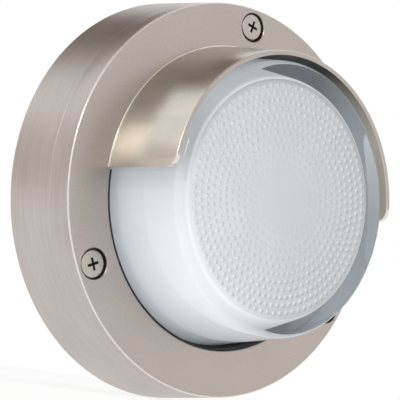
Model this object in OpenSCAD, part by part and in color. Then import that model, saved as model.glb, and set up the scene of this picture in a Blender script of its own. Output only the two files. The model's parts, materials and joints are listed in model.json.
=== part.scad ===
/* [Opening and lens] */
// Radius of the opening in the front ring
opening_r = 48.5; // [46:0.5:52]
// Gap between the edge of the opening and the glass
lens_gap = 2.3; // [1.8:0.1:3]
// How far the glass stands out of the ring face
lens_out = 26.8; // [22:0.1:30]
// How much the glass narrows between the ring face and its front
lens_taper = 3.4; // [2:0.1:4.5]
// Thickness of the glass side wall
lens_wall = 5.6; // [4.5:0.1:6.2]
// Thickness of the glass front
lens_front_t = 4; // [3:0.1:5]
// Rounding of the front edge of the glass
lens_edge_r = 1.8; // [1:0.1:2.5]
// Rounding inside the front corner of the glass
lens_inner_r = 2.5; // [1.5:0.1:3.5]
// How far the glass flange reaches past the opening
flange_lap = 2.7; // [2:0.1:4]
// Thickness of the glass flange
flange_t = 4; // [3:0.1:5]
// Thickness of the lens gasket round the edge of the flange
gasket_web = 1.3; // [1:0.1:2]
// Thickness of the lens gasket in front of the flange and behind it
gasket_lip = 1; // [0.8:0.1:1.5]
// Thickness of the retaining ring behind the lens
retainer_t = 1.5; // [1.2:0.1:2]

/* [Front ring] */
// Thickness of the face plate
plate_t = 3; // [2.5:0.1:4]
// Height of the side wall of the ring
ring_skirt = 8.5; // [7.5:0.1:11]
// Thickness of the side wall of the ring at the face
skirt_t = 3.1; // [2.4:0.1:3.6]
// Chamfer on the front outer edge
ring_edge = 0.7; // [0.4:0.1:1.2]
// Chamfer on the edge of the opening
opening_edge = 0.5; // [0.2:0.1:0.8]
// Slope of the side of the light in degrees
side_draft = 5.3; // [3:0.1:7]

/* [Hood] */
// Thickness of the hood
hood_t = 1.5; // [1.3:0.1:2.5]
// How far the hood stands out of the ring face
hood_out = 27.2; // [22:0.1:31]
// How far the inside of the hood stands in from the opening edge
hood_inset = 0.6; // [0.5:0.1:1.2]
// Gap between the hood and the glass at their front edges
hood_gap = 1.6; // [0.6:0.1:2]
// Height of the ends of the hood above the middle of the light
hood_end = 1; // [0.5:0.1:4]
// Rounding of the front corners of the hood
hood_corner_r = 4.2; // [1.5:0.1:5]
// Rounding of the front edge of the hood
hood_edge_r = 0.4; // [0.3:0.1:0.6]
// Thickness of the hood flange behind the ring
hood_flange_t = 2; // [1.5:0.1:2.5]

/* [Cover screws] */
// Radius of the shank of a cover screw
screw_r = 2; // [1.5:0.1:2.5]
// Radius of the head of a cover screw
head_r = 4; // [3.6:0.1:4.4]
// Height of the head of a cover screw
head_h = 2.5; // [2:0.1:3]
// Radius of the round recess for a head
recess_r = 5; // [4.7:0.1:5.5]
// Depth of the recess for a head
recess_depth = 2.6; // [2:0.1:3]
// How far each recess is set in towards the middle from its screw
recess_shift = 0.5; // [0:0.1:0.6]
// Thread length of a cover screw inside the housing
engagement = 10; // [8:0.1:12]
// Radius of a screw boss
boss_r = 4.2; // [3.9:0.1:4.8]
// Gap between a screw boss and the lens gasket
boss_gap = 0.8; // [0.5:0.1:1.5]
// Length of a threaded insert
insert_length = 8; // [6:0.5:8.5]

/* [Rear housing] */
// Depth of the housing from the wall to the seam
seam_d = 18.5; // [17:0.1:24]
// Thickness of the back plate
floor_t = 3; // [2.5:0.1:4]
// Thickness of the housing wall at the seam
cup_t = 3.2; // [2.6:0.1:4]
// Height of the locating lip at the seam
lip_h = 1.8; // [1:0.1:2.5]
// Thickness of the locating lip
lip_t = 1.1; // [0.9:0.1:1.4]
// Chamfer on both edges of the seam
seam_edge = 0.25; // [0.1:0.05:0.4]
// Width of the wall gasket
wall_gasket_w = 5; // [3:0.5:5.5]
// Thickness of the wall gasket
wall_gasket_t = 1.5; // [1:0.1:2]
// Distance from the housing edge at the wall to the wall gasket
wall_gasket_in = 3.5; // [2.5:0.5:5]
// Width of the seal in the seam
seal_w = 1.4; // [1:0.1:1.6]
// Depth of the seal in the seam
seal_t = 1.3; // [1:0.1:2]

/* [Wall strap] */
// Distance between the junction box screws
box_spacing = 88.9; // [83:0.1:90]
// Length of each junction box slot
slot_length = 8; // [6:0.5:9]
// Half the width of each junction box slot
slot_r = 2.2; // [1.8:0.1:2.6]
// Metal left past the end of each slot
slot_margin = 3; // [2:0.1:4]
// Width of the strap
strap_w = 18; // [16:0.5:20]
// Thickness of the strap
strap_t = 1.6; // [1.2:0.1:2.5]
// Distance between the screws that pull the housing to the strap
strap_screw_spacing = 50; // [44:1:60]
// Depth of the pocket that takes the strap
pocket_depth = 5; // [4:0.1:5.5]
// Wall round the pocket
pocket_wall = 2.5; // [2:0.1:3]
// Radius of the cable bore in the grommet
cable_r = 4; // [3:0.1:5]
// Thickness of the rubber round the cable
grommet_t = 2.4; // [1.8:0.1:3]

/* [Reflector pan] */
// Distance from the back plate to the pan
pan_height = 12.5; // [12:0.1:14]
// Thickness of the pan
pan_t = 1; // [0.8:0.1:1.4]
// Height of the flared edge of the pan
pan_rim = 4.5; // [3:0.1:6]
// Distance from the middle to each pan post
post_circle_r = 30; // [28:0.5:32]
// Radius of a pan post
post_r = 3.5; // [3:0.1:4]

/* [Lamp] */
// Distance from the pan to the axis of the lamp
lamp_height = 11; // [10:0.1:13]
// Radius of the lamp glass
lamp_r = 6.5; // [6:0.1:7]
// Length of the lamp glass
lamp_length = 36; // [30:0.5:40]
// Distance between the two pins
pin_spacing = 9; // [8.5:0.1:9.5]
// Length of the pins
pin_length = 6.5; // [5.5:0.1:7]
// Radius of the pin wire
pin_r = 0.5; // [0.4:0.05:0.6]

/* [Lampholder] */
// Length of the lampholder along the lamp
holder_l = 18; // [16:0.5:20]
// Width of the lampholder
holder_w = 22; // [20:0.5:24]
// Thickness of the lampholder
holder_t = 15; // [13:0.5:17]
// Place of the lampholder's mouth, left of the middle
holder_mouth = 16; // [13:0.5:18]
// Thickness of the bracket
bracket_t = 1.5; // [1:0.1:2]
// Width of the bracket
bracket_w = 18; // [16:0.5:20]

/* [Terminal block] */
// Wall past the last sleeve of the terminal block
block_wall = 1.5; // [1:0.1:2]
// Width of the terminal block
block_w = 15; // [13:0.5:16]
// Height of the terminal block
block_h = 10.5; // [9.5:0.1:11]
// Distance from the middle of the light to the middle of the block
block_drop = 31.5; // [30:0.5:34]
// Distance between poles
pole_pitch = 9; // [8.5:0.1:9.5]
// Radius of a lead with its sleeve
lead_r = 1; // [0.8:0.1:1.2]

/* [Small parts] */
// Radius of the small screws
small_r = 1.5; // [1.25:0.05:1.7]
// Radius of the heads of the small screws
small_head_r = 2.8; // [2.5:0.1:3]
// Height of the heads of the small screws
small_head_h = 1.8; // [1.4:0.1:2]
// Length of the small screws under their heads
small_screw_l = 6; // [5:0.1:6.5]
// Metal round a small screw in the front ring
small_boss_wall = 1.4; // [1.2:0.1:2]
// Radial clearance of a screw in the thread that holds it
thread_fit = 0.05; // [0.03:0.01:0.08]
// Radial clearance between parts that slide into each other
slide_fit = 0.2; // [0.15:0.05:0.3]
// Gap left between still parts that sit side by side
seat_gap = 0.1; // [0.05:0.05:0.2]

/* [Hidden] */
$fn = 96;
// Steps round a thin wire
wire_steps = 24;
// A cut that starts this far outside the metal
over = 1;
// How far shapes of one piece run into each other
sink = 0.5;
// Room past the tip of a screw, and metal left under a blind hole
tip_room = 1;
blind_floor = 1;
tip_d = blind_floor + 0.3;
// Distances from the wall, front to back
face_d = seam_d + ring_skirt;
plate_d = face_d - plate_t;
seat_d = plate_d - hood_flange_t;
flange_top_d = seat_d - gasket_lip;
flange_bottom_d = flange_top_d - flange_t;
retainer_d = flange_bottom_d - gasket_lip;
lens_front_d = face_d + lens_out;
lens_inside_d = lens_front_d - lens_front_t;
hood_front_d = face_d + hood_out;
recess_d = face_d - recess_depth;
channel_d = pocket_depth + pocket_wall;
pan_d = floor_t + pan_height;
pan_top_d = pan_d + pan_t;
lamp_d = pan_top_d + lamp_height;
// Radius of the glass outside and inside at a distance from the wall
lens_base_r = opening_r - lens_gap;
function glass_r(d) = lens_base_r - (d - face_d) * lens_taper / lens_out;
function cavity_r(d) = glass_r(d) - lens_wall;
lens_flange_r = opening_r + flange_lap;
gasket_r = lens_flange_r + gasket_web;
// The small bosses stand round the gasket, and the lip and skirt round them
small_boss_gap = 0.5;
lip_gap = 0.3;
small_boss_r = small_r + small_boss_wall;
small_circle_r = gasket_r + small_boss_gap + small_boss_r;
lip_in_r = small_circle_r + small_boss_r + lip_gap;
lip_r = lip_in_r + lip_t;
skirt_in_r = lip_r + slide_fit;
ring_r = skirt_in_r + skirt_t;
screw_circle_r = gasket_r + boss_gap + boss_r;
recess_circle_r = screw_circle_r - recess_shift;
// Radius of the side of the light at a distance from the wall
function side_r(d) = ring_r + (face_d - d) * tan(side_draft);
seam_r = side_r(seam_d);
wall_r = side_r(0);
cup_in_r = seam_r - cup_t;
// Height of the thick rim under the lip, and the metal inside the seal
rim_h = 4;
seal_in = 0.9;
seal_in_r = skirt_in_r + seal_in;
wall_gasket_r = wall_r - wall_gasket_in;
// The hood and the cut in the ring that it passes through
hood_in_r = opening_r - hood_inset;
hood_out_r = hood_in_r + hood_t;
hood_cut_r = hood_out_r + seat_gap;
hood_front_in_r = glass_r(lens_front_d) + hood_gap;
hood_front_out_r = hood_front_in_r + hood_t;
hood_flange_r = gasket_r + seat_gap;
// Metal round and under a recess, the webs of the small bosses and the seat below the plate
pad_wall = 1;
pad_r = recess_r + pad_wall;
pad_t = 1.6;
web_t = 2;
web_d = seam_d + lip_h + slide_fit;
land_lap = 0.4;
retainer_lip = 1.5;
retainer_in_r = cavity_r(flange_bottom_d) + retainer_lip;
// Directions of the screws round the light in degrees
SCREW_ANGLES = [90, 210, 330];
SMALL_ANGLES = [30, 150, 270];
insert_wall = 1;
insert_r = screw_r + insert_wall;
captive_rim = 1.3;
captive_r = screw_r + captive_rim;
captive_t = 1;
screw_length = recess_d - seam_d + engagement;
// The strap, its pocket and what goes through them
strap_half = box_spacing / 2 + slot_length / 2 + slot_margin;
strap_gap = 1;
pocket_half = strap_half + strap_gap;
pocket_w = strap_w + 2 * strap_gap;
grommet_r = cable_r + grommet_t;
grommet_lap = 2;
grommet_flange_r = grommet_r + grommet_lap;
grommet_flange_t = 1.5;
strap_hole_gap = 3;
strap_hole_r = cable_r + strap_hole_gap;
washer_t = 1;
washer_lap = 0.5;
washer_r = head_r + washer_lap;
strap_tip_d = 0.2;
// The lampholder and its bracket, from the mouth back
holder_back_x = -holder_mouth - holder_l;
bracket_x = holder_back_x - bracket_t;
holder_screw_y = 5;
lead_entry_back = 2;
lead_entry_x = -holder_mouth - holder_l / 2 - lead_entry_back;
lead_entry = 3;
// The reflector pan: its edge clears the glass, and its floor holds the foot of the bracket
pan_gap = 1;
foot_gap = 0.37;
pan_r = cavity_r(pan_d + pan_rim) - pan_gap;
pan_floor_r = norm([bracket_x, bracket_w / 2]) + foot_gap + pan_t;
bushing_back = 3;
bushing_side = 3.5;
bushing_x = -holder_mouth - bushing_back;
bushing_y = holder_w / 2 + bushing_side;
bushing_wall = 1.2;
bushing_lap = 1;
bushing_r = lead_r + bushing_wall;
bushing_flange_r = bushing_r + bushing_lap;
bushing_flange_t = 0.8;
pan_hole_r = bushing_r + seat_gap;
rivet_r = 1.5;
rivet_head_r = 2.2;
rivet_head_t = 1;
rivet_in = 4.5;
rivet_pitch = 8;
// The lamp, its pins and the slots that take them
pin_room = 1.5;
slot_deep = pin_length + pin_room;
slot_w = 2;
slot_t = 4.4;
leaf_t = 0.3;
leaf_gap = 0.05;
pin_bend = 1.3;
base_l = 7;
base_wall = 2.5;
base_w = pin_spacing + 2 * base_wall;
base_t = 8;
glass_x = base_l - holder_mouth;
lamp_wall = 1;
lamp_end_t = 2;
stem_r = 2;
coil_r = 0.6;
coil_l = 14;
coil_in = 8;
coil_x = glass_x + coil_in;
wire_r = 0.25;
wire_side = 1;
wire_in = 0.4;
// The terminal block
plinth_h = 1;
block_base_d = floor_t + plinth_h;
block_y = -block_drop;
block_top_y = block_y + block_w / 2;
sleeve_height = 4.5;
sleeve_d = block_base_d + sleeve_height;
sleeve_r = 2.3;
sleeve_bore_gap = 0.3;
sleeve_bore_r = lead_r + sleeve_bore_gap;
sleeve_in = 1;
sleeve_l = block_w - 2 * sleeve_in;
terminal_y = 3.5;
terminal_r = 1.25;
terminal_head_r = 2.1;
terminal_head_h = 1.4;
terminal_seat = 0.6;
driver_slot = 0.6;
ear_h = 5;
ear_gap = 0.3;
ear_l = 2 * (small_head_r + ear_gap);
block_half = pole_pitch + sleeve_r + block_wall;
ear_x = block_half + ear_l / 2;
block_l = 2 * (block_half + ear_l);
// The earth point
earth_x = 36;
earth_y = -26;
earth_boss_h = 2;
earth_d = floor_t + earth_boss_h;
tag_t = 0.8;
tag_lap = 0.2;
tag_neck = 1;
tag_r = head_r + tag_lap;
barrel_wall = 0.6;
barrel_r = lead_r + barrel_wall;
barrel_l = 5;
barrel_x = earth_x - tag_r - tag_neck;
// Routes of the leads, from the block to the lampholder and the earth point
LINE_ROUTE = [
  [-pole_pitch, block_top_y - 4, sleeve_d], [-pole_pitch, block_top_y + 1.5, sleeve_d],
  [-11, -18.6, 9.2], [-15, -15.6, 10.4], [-18, -bushing_y, 12.4], [bushing_x, -bushing_y, pan_d - 0.6],
  [bushing_x, -bushing_y, pan_top_d + 2.5], [bushing_x - 0.6, -bushing_y - 0.8, lamp_d - 5],
  [bushing_x - 3.2, -bushing_y - 1, lamp_d - 1.4], [bushing_x - 6.4, -bushing_y + 0.5, lamp_d],
  [lead_entry_x, -holder_w / 2 - 1.2, lamp_d], [lead_entry_x, lead_entry - holder_w / 2 - 0.3, lamp_d]
];
NEUTRAL_ROUTE = [
  [0, block_top_y - 4, sleeve_d], [0, block_top_y + 1.5, sleeve_d],
  [-1, -17.5, 9.8], [-3, -10, 11.4], [-6, 0, 11.8], [-11, 9, 11.8], [-16.5, bushing_y - 0.8, 12.4],
  [bushing_x, bushing_y, pan_d - 0.6], [bushing_x, bushing_y, pan_top_d + 2.5],
  [bushing_x - 0.6, bushing_y + 0.8, lamp_d - 5], [bushing_x - 3.2, bushing_y + 1, lamp_d - 1.4],
  [bushing_x - 6.4, bushing_y - 0.5, lamp_d], [lead_entry_x, holder_w / 2 + 1.2, lamp_d],
  [lead_entry_x, holder_w / 2 - lead_entry + 0.3, lamp_d]
];
EARTH_ROUTE = [
  [pole_pitch, block_top_y - 4, sleeve_d], [pole_pitch, block_top_y + 1.5, sleeve_d],
  [11, -19.3, 8.8], [16, -19.5, 8.2], [20, -22.5, 7.4], [22.6, -25.2, 6.8],
  [barrel_x - barrel_l - 1, earth_y, earth_d + barrel_r],
  [barrel_x - barrel_l + 1, earth_y, earth_d + barrel_r],
  [barrel_x - 1, earth_y, earth_d + barrel_r]
];

// Points of an arc about c from angle a to angle b
function arc(c, r, a, b, n = 6) = [
  for (i = [0:n]) let (turn = a + (b - a) * i / n) c + r * [cos(turn), sin(turn)]
];

// Everything is drawn lying on its back, with +Z out of the wall, and is then stood up
module stand_up() { rotate([90, 0, 0]) children(); }

// Copies round the light at a radius and a list of directions
module around(r, angles) {
  for (a = angles) rotate([0, 0, a]) translate([r, 0, 0]) children();
}

// A disc or a post between two distances from the wall
module post(r, from_d, to_d) { translate([0, 0, from_d]) cylinder(r = r, h = to_d - from_d); }

// A washer or a tube between two distances from the wall
module tube(r, hole, from_d, to_d) {
  difference() {
    post(r, from_d, to_d);
    post(hole, from_d - over, to_d + over);
  }
}

// A cross for a screwdriver, cut down from the origin
module cross(length, width, depth) {
  for (a = [0, 90]) rotate([0, 0, a]) translate([-length / 2, -width / 2, -depth])
    cube([length, width, depth + over]);
}

// A pan head screw with its seat at the origin and its shank pointing down
module pan_screw(shank_r, length, top_r, top_h) {
  dome_r = top_r * 4;
  cross_l = top_r * 1.1;
  cross_w = top_r * 0.27;
  cross_deep = top_h * 0.55;
  difference() {
    union() {
      intersection() {
        cylinder(r = top_r, h = top_h);
        translate([0, 0, top_h - dome_r]) sphere(r = dome_r);
      }
      translate([0, 0, -length]) cylinder(r = shank_r, h = length + top_h / 2);
    }
    translate([0, 0, top_h]) cross(cross_l, cross_w, cross_deep);
  }
}

// A small screw with a plain slot, seat at the origin and shank pointing down
module slot_screw(shank_r, length, top_r, top_h) {
  difference() {
    union() {
      cylinder(r = top_r, h = top_h);
      translate([0, 0, -length]) cylinder(r = shank_r, h = length + top_h / 2);
    }
    translate([-top_r - over, -driver_slot / 2, top_h / 2])
      cube([2 * (top_r + over), driver_slot, top_h]);
  }
}

// The back of the light: a cup with the strap pocket, the screw bosses and the pan posts
module rear_housing() {
  color([0.70, 0.67, 0.64]) stand_up() difference() {
    union() {
      housing_cup();
      housing_channel();
      around(screw_circle_r, SCREW_ANGLES) post(boss_r, 0, seam_d);
      around(post_circle_r, SCREW_ANGLES) post(post_r, 0, pan_d);
      translate([earth_x, earth_y]) post(tag_r, 0, earth_d);
      translate([-block_l / 2, block_y - block_w / 2, floor_t - over])
        cube([block_l, block_w, block_base_d - floor_t + over]);
    }
    tube(wall_gasket_r + seat_gap, wall_gasket_r - wall_gasket_w - seat_gap, -over, wall_gasket_t);
    translate([-pocket_half, -pocket_w / 2, -over])
      cube([2 * pocket_half, pocket_w, pocket_depth + over]);
    tube(seal_in_r + seal_w + seat_gap, seal_in_r - seat_gap, seam_d - seal_t, seam_d + over);
    around(screw_circle_r, SCREW_ANGLES) {
      post(insert_r + thread_fit, seam_d - insert_length, seam_d + over);
      post(screw_r + slide_fit, seam_d - engagement - tip_room, seam_d);
      post(boss_r + slide_fit, seam_d, seam_d + lip_h + over);
    }
    around(post_circle_r, SCREW_ANGLES)
      post(small_r + thread_fit, pan_top_d - small_screw_l - tip_room, pan_d + over);
    for (x = [-1, 1] * strap_screw_spacing / 2) translate([x, 0])
      post(screw_r + slide_fit, 0, channel_d + over);
    post(grommet_r + seat_gap, 0, channel_d + over);
    translate([earth_x, earth_y]) post(screw_r + thread_fit, blind_floor, earth_d + over);
    for (x = [-1, 1] * ear_x) translate([x, block_y])
      post(small_r + thread_fit, blind_floor, block_base_d + over);
  }
}

module housing_cup() {
  rotate_extrude() polygon([
    [0, 0], [wall_r, 0], [side_r(seam_d - seam_edge), seam_d - seam_edge],
    [seam_r - seam_edge, seam_d], [lip_r, seam_d], [lip_r, seam_d + lip_h],
    [lip_in_r, seam_d + lip_h], [lip_in_r, seam_d - rim_h],
    [cup_in_r, seam_d - rim_h - (cup_in_r - lip_in_r)], [cup_in_r, floor_t], [0, floor_t]
  ]);
}

module housing_channel() {
  length = 2 * (pocket_half + pocket_wall);
  width = pocket_w + 2 * pocket_wall;
  translate([-length / 2, -width / 2, 0]) cube([length, width, channel_d]);
}

// Foam ring pressed against the wall
module wall_gasket() {
  color([0.12, 0.12, 0.12]) stand_up()
    tube(wall_gasket_r, wall_gasket_r - wall_gasket_w, 0, wall_gasket_t);
}

// Flat steel strap for the junction box
module mounting_strap() {
  color([0.78, 0.78, 0.76]) stand_up() difference() {
    translate([-strap_half, -strap_w / 2, 0]) cube([2 * strap_half, strap_w, strap_t]);
    post(strap_hole_r, -over, strap_t + over);
    for (x = [-1, 1] * box_spacing / 2) translate([x, 0, -over]) strap_slot();
    for (x = [-1, 1] * strap_screw_spacing / 2) translate([x, 0])
      post(screw_r + thread_fit, -over, strap_t + over);
  }
}

module strap_slot() {
  run = slot_length - 2 * slot_r;
  for (x = [-1, 1] * run / 2) translate([x, 0, 0]) cylinder(r = slot_r, h = strap_t + 2 * over);
  translate([-run / 2, -slot_r, 0]) cube([run, 2 * slot_r, strap_t + 2 * over]);
}

// Screws that pull the housing to the strap
module strap_screws() {
  seat = channel_d + washer_t;
  color([0.75, 0.75, 0.74]) stand_up() for (x = [-1, 1] * strap_screw_spacing / 2)
    translate([x, 0, seat]) pan_screw(screw_r, seat - strap_tip_d, head_r, head_h);
}

module sealing_washers() {
  color([0.1, 0.1, 0.1]) stand_up() for (x = [-1, 1] * strap_screw_spacing / 2)
    translate([x, 0]) tube(washer_r, screw_r + seat_gap, channel_d, channel_d + washer_t);
}

// Rubber grommet for the supply cable
module cable_grommet() {
  color([0.08, 0.08, 0.08]) stand_up() rotate_extrude() polygon([
    [cable_r, pocket_depth - grommet_flange_t], [grommet_flange_r, pocket_depth - grommet_flange_t],
    [grommet_flange_r, pocket_depth], [grommet_r, pocket_depth], [grommet_r, channel_d],
    [grommet_flange_r, channel_d], [grommet_flange_r, channel_d + grommet_flange_t],
    [cable_r, channel_d + grommet_flange_t]
  ]);
}

module seam_seal() {
  color([0.1, 0.1, 0.1]) stand_up()
    tube(seal_in_r + seal_w, seal_in_r, seam_d - seal_t, seam_d);
}

module threaded_inserts() {
  color([0.72, 0.58, 0.32]) stand_up() around(screw_circle_r, SCREW_ANGLES)
    tube(insert_r, screw_r + thread_fit, seam_d - insert_length, seam_d);
}

// White pan that throws the light forward
module reflector_pan() {
  color([0.93, 0.93, 0.91]) stand_up() difference() {
    rotate_extrude() polygon([
      [0, pan_d], [pan_floor_r, pan_d], [pan_r, pan_d + pan_rim],
      [pan_r - pan_t, pan_d + pan_rim], [pan_floor_r - pan_t, pan_top_d], [0, pan_top_d]
    ]);
    around(post_circle_r, SCREW_ANGLES) post(small_r + slide_fit, pan_d - over, pan_top_d + over);
    for (y = [-1, 1] * bushing_y) translate([bushing_x, y])
      post(pan_hole_r, pan_d - over, pan_top_d + over);
    rivet_places() post(rivet_r + seat_gap, pan_d - over, pan_top_d + over);
  }
}

module pan_screws() {
  color([0.75, 0.75, 0.74]) stand_up() around(post_circle_r, SCREW_ANGLES)
    translate([0, 0, pan_top_d]) pan_screw(small_r, small_screw_l, small_head_r, small_head_h);
}

module rivet_places() {
  for (x = [rivet_in, rivet_in + rivet_pitch]) translate([holder_back_x + x, 0]) children();
}

// Angle bracket between the pan and the lampholder
module lampholder_bracket() {
  foot_l = bracket_t + 2 * rivet_in + rivet_pitch;
  color([0.8, 0.8, 0.8]) stand_up() difference() {
    union() {
      translate([bracket_x, -bracket_w / 2, pan_top_d]) cube([foot_l, bracket_w, bracket_t]);
      translate([bracket_x, -bracket_w / 2, pan_top_d])
        cube([bracket_t, bracket_w, lamp_height + holder_t / 2]);
    }
    rivet_places() post(rivet_r + seat_gap, pan_top_d - over, pan_top_d + bracket_t + over);
    holder_screw_places() cylinder(r = small_r + slide_fit, h = 4 * bracket_t, center = true);
  }
}

// Axes of the lampholder screws, along +X from the back of the bracket
module holder_screw_places() {
  for (y = [-1, 1] * holder_screw_y) translate([bracket_x, y, lamp_d]) rotate([0, 90, 0]) children();
}

module bracket_rivets() {
  color([0.7, 0.7, 0.7]) stand_up() rivet_places() {
    post(rivet_head_r, pan_d - rivet_head_t, pan_d);
    post(rivet_r, pan_d - rivet_head_t, pan_top_d + bracket_t + rivet_head_t);
    post(rivet_head_r, pan_top_d + bracket_t, pan_top_d + bracket_t + rivet_head_t);
  }
}

// Ceramic lampholder with a slot for each pin
module lampholder_body() {
  color([0.9, 0.89, 0.84]) stand_up() difference() {
    translate([holder_back_x, -holder_w / 2, lamp_d - holder_t / 2])
      cube([holder_l, holder_w, holder_t]);
    for (y = [-1, 1] * pin_spacing / 2)
      translate([-holder_mouth - slot_deep, y - slot_w / 2, lamp_d - slot_t / 2])
        cube([slot_deep + over, slot_w, slot_t]);
    holder_screw_places() cylinder(r = small_r + thread_fit, h = small_screw_l + bracket_t);
    for (side = [-1, 1]) translate([lead_entry_x, side * holder_w / 2, lamp_d])
      rotate([90, 0, 0]) cylinder(r = lead_r + seat_gap, h = 2 * lead_entry, center = true);
  }
}

// Spring leaves on both sides of each pin
module lampholder_contacts() {
  gap = slot_w - 2 * (leaf_t + leaf_gap);
  color([0.8, 0.62, 0.3]) stand_up() for (y = [-1, 1] * pin_spacing / 2)
    translate([-holder_mouth - slot_deep, y, lamp_d - slot_t / 2 + seat_gap]) {
      for (side = [-1, 1]) translate([0, side * (gap + leaf_t) / 2 - leaf_t / 2, 0])
        cube([slot_deep - tip_room, leaf_t, slot_t - 2 * seat_gap]);
      translate([0, -gap / 2 - leaf_t, 0]) cube([leaf_t, gap + 2 * leaf_t, slot_t - 2 * seat_gap]);
    }
}

module lampholder_screws() {
  color([0.75, 0.75, 0.74]) stand_up() holder_screw_places()
    rotate([180, 0, 0]) pan_screw(small_r, small_screw_l, small_head_r, small_head_h);
}

// Three pole block for the supply
module terminal_block() {
  color([0.88, 0.88, 0.84]) stand_up() difference() {
    union() {
      translate([-block_l / 2, block_y - block_w / 2, block_base_d]) cube([block_l, block_w, ear_h]);
      translate([-block_half, block_y - block_w / 2, block_base_d])
        cube([2 * block_half, block_w, block_h]);
    }
    pole_places() {
      rotate([90, 0, 0]) cylinder(r = sleeve_r + seat_gap, h = block_w + 2 * over, center = true);
      for (y = [-1, 1] * terminal_y) translate([0, y, 0])
        cylinder(r = terminal_head_r + seat_gap, h = block_h);
    }
    for (x = [-1, 1] * ear_x) translate([x, block_y])
      post(small_r + slide_fit, 0, block_base_d + block_h);
  }
}

// Middles of the three terminal sleeves
module pole_places() {
  for (i = [-1, 0, 1]) translate([i * pole_pitch, block_y, sleeve_d]) children();
}

module terminal_sleeves() {
  color([0.76, 0.62, 0.36]) stand_up() pole_places() difference() {
    rotate([90, 0, 0]) cylinder(r = sleeve_r, h = sleeve_l, center = true);
    rotate([90, 0, 0]) cylinder(r = sleeve_bore_r, h = sleeve_l + 2 * over, center = true);
    for (y = [-1, 1] * terminal_y) translate([0, y, 0])
      cylinder(r = terminal_r + thread_fit, h = sleeve_r + over);
  }
}

module terminal_screws() {
  shank = sleeve_r + terminal_seat - lead_r - slide_fit;
  color([0.72, 0.72, 0.7]) stand_up() pole_places() for (y = [-1, 1] * terminal_y)
    translate([0, y, sleeve_r + terminal_seat])
      slot_screw(terminal_r, shank, terminal_head_r, terminal_head_h);
}

module block_screws() {
  seat = block_base_d + ear_h;
  color([0.75, 0.75, 0.74]) stand_up() for (x = [-1, 1] * ear_x)
    translate([x, block_y, seat]) pan_screw(small_r, seat - tip_d, small_head_r, small_head_h);
}

// A smooth curve through the points of a route, with steps between each two
function bend(p, i, t) = let (
  a = p[max(i - 1, 0)], b = p[i], c = p[i + 1], d = p[min(i + 2, len(p) - 1)]
) 0.5 * (2 * b + (c - a) * t + (2 * a - 5 * b + 4 * c - d) * t * t + (3 * b - 3 * c + d - a) * t * t * t);
function smooth(p, steps = 3) = concat(
  [for (i = [0:len(p) - 2], k = [0:steps - 1]) bend(p, i, k / steps)], [p[len(p) - 1]]
);
function unit(v) = v / norm(v);
function along(p, i) = unit(p[min(i + 1, len(p) - 1)] - p[max(i - 1, 0)]);
// A sideways direction at each point that turns as little as it can
function sideways(p, i, u) = let (t = along(p, i), v = unit(u - (u * t) * t))
  i == len(p) - 1 ? [v] : concat([v], sideways(p, i + 1, v));

// A round lead swept along a route
module lead(route, sides = 8) {
  p = smooth(route);
  u = sideways(p, 0, [0, 0, 1]);
  n = len(p);
  polyhedron(
    points = [for (i = [0:n - 1], k = [0:sides - 1]) let (w = cross(along(p, i), u[i]))
      p[i] + lead_r * (cos(360 * k / sides) * u[i] + sin(360 * k / sides) * w)],
    faces = concat(
      [[for (k = [0:sides - 1]) k]],
      [for (i = [0:n - 2], k = [0:sides - 1]) let (a = i * sides + k, b = i * sides + (k + 1) % sides)
        [a, a + sides, b + sides]],
      [for (i = [0:n - 2], k = [0:sides - 1]) let (a = i * sides + k, b = i * sides + (k + 1) % sides)
        [a, b + sides, b]],
      [[for (k = [sides - 1:-1:0]) (n - 1) * sides + k]]
    )
  );
}

module line_lead() { color([0.40, 0.22, 0.14]) stand_up() lead(LINE_ROUTE); }

module neutral_lead() { color([0.20, 0.32, 0.62]) stand_up() lead(NEUTRAL_ROUTE); }

module earth_lead() { color([0.28, 0.55, 0.22]) stand_up() lead(EARTH_ROUTE); }

// Heat proof bushings where the leads pass the pan
module lead_bushings() {
  color([0.85, 0.82, 0.74]) stand_up() for (y = [-1, 1] * bushing_y) translate([bushing_x, y])
    rotate_extrude() polygon([
      [lead_r + slide_fit, pan_d - bushing_flange_t], [bushing_flange_r, pan_d - bushing_flange_t],
      [bushing_flange_r, pan_d], [bushing_r, pan_d], [bushing_r, pan_top_d], [bushing_flange_r, pan_top_d],
      [bushing_flange_r, pan_top_d + bushing_flange_t], [lead_r + slide_fit, pan_top_d + bushing_flange_t]
    ]);
}

// Ring terminal on the end of the earth lead
module earth_ring_terminal() {
  color([0.80, 0.78, 0.70]) stand_up() translate([earth_x, earth_y, earth_d]) difference() {
    union() {
      cylinder(r = tag_r, h = tag_t);
      translate([-tag_r - tag_neck, -barrel_r, 0]) cube([tag_r, 2 * barrel_r, tag_t]);
      translate([-tag_r - tag_neck, 0, barrel_r]) rotate([0, -90, 0]) cylinder(r = barrel_r, h = barrel_l);
    }
    translate([0, 0, -over]) cylinder(r = screw_r + seat_gap, h = tag_t + 2 * over);
    translate([-tag_r, 0, barrel_r]) rotate([0, -90, 0])
      cylinder(r = lead_r + seat_gap, h = barrel_l + 2 * over);
  }
}

module earth_screw() {
  color([0.25, 0.55, 0.30]) stand_up() translate([earth_x, earth_y, earth_d + tag_t])
    pan_screw(screw_r, earth_d + tag_t - tip_d, head_r, head_h);
}

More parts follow.
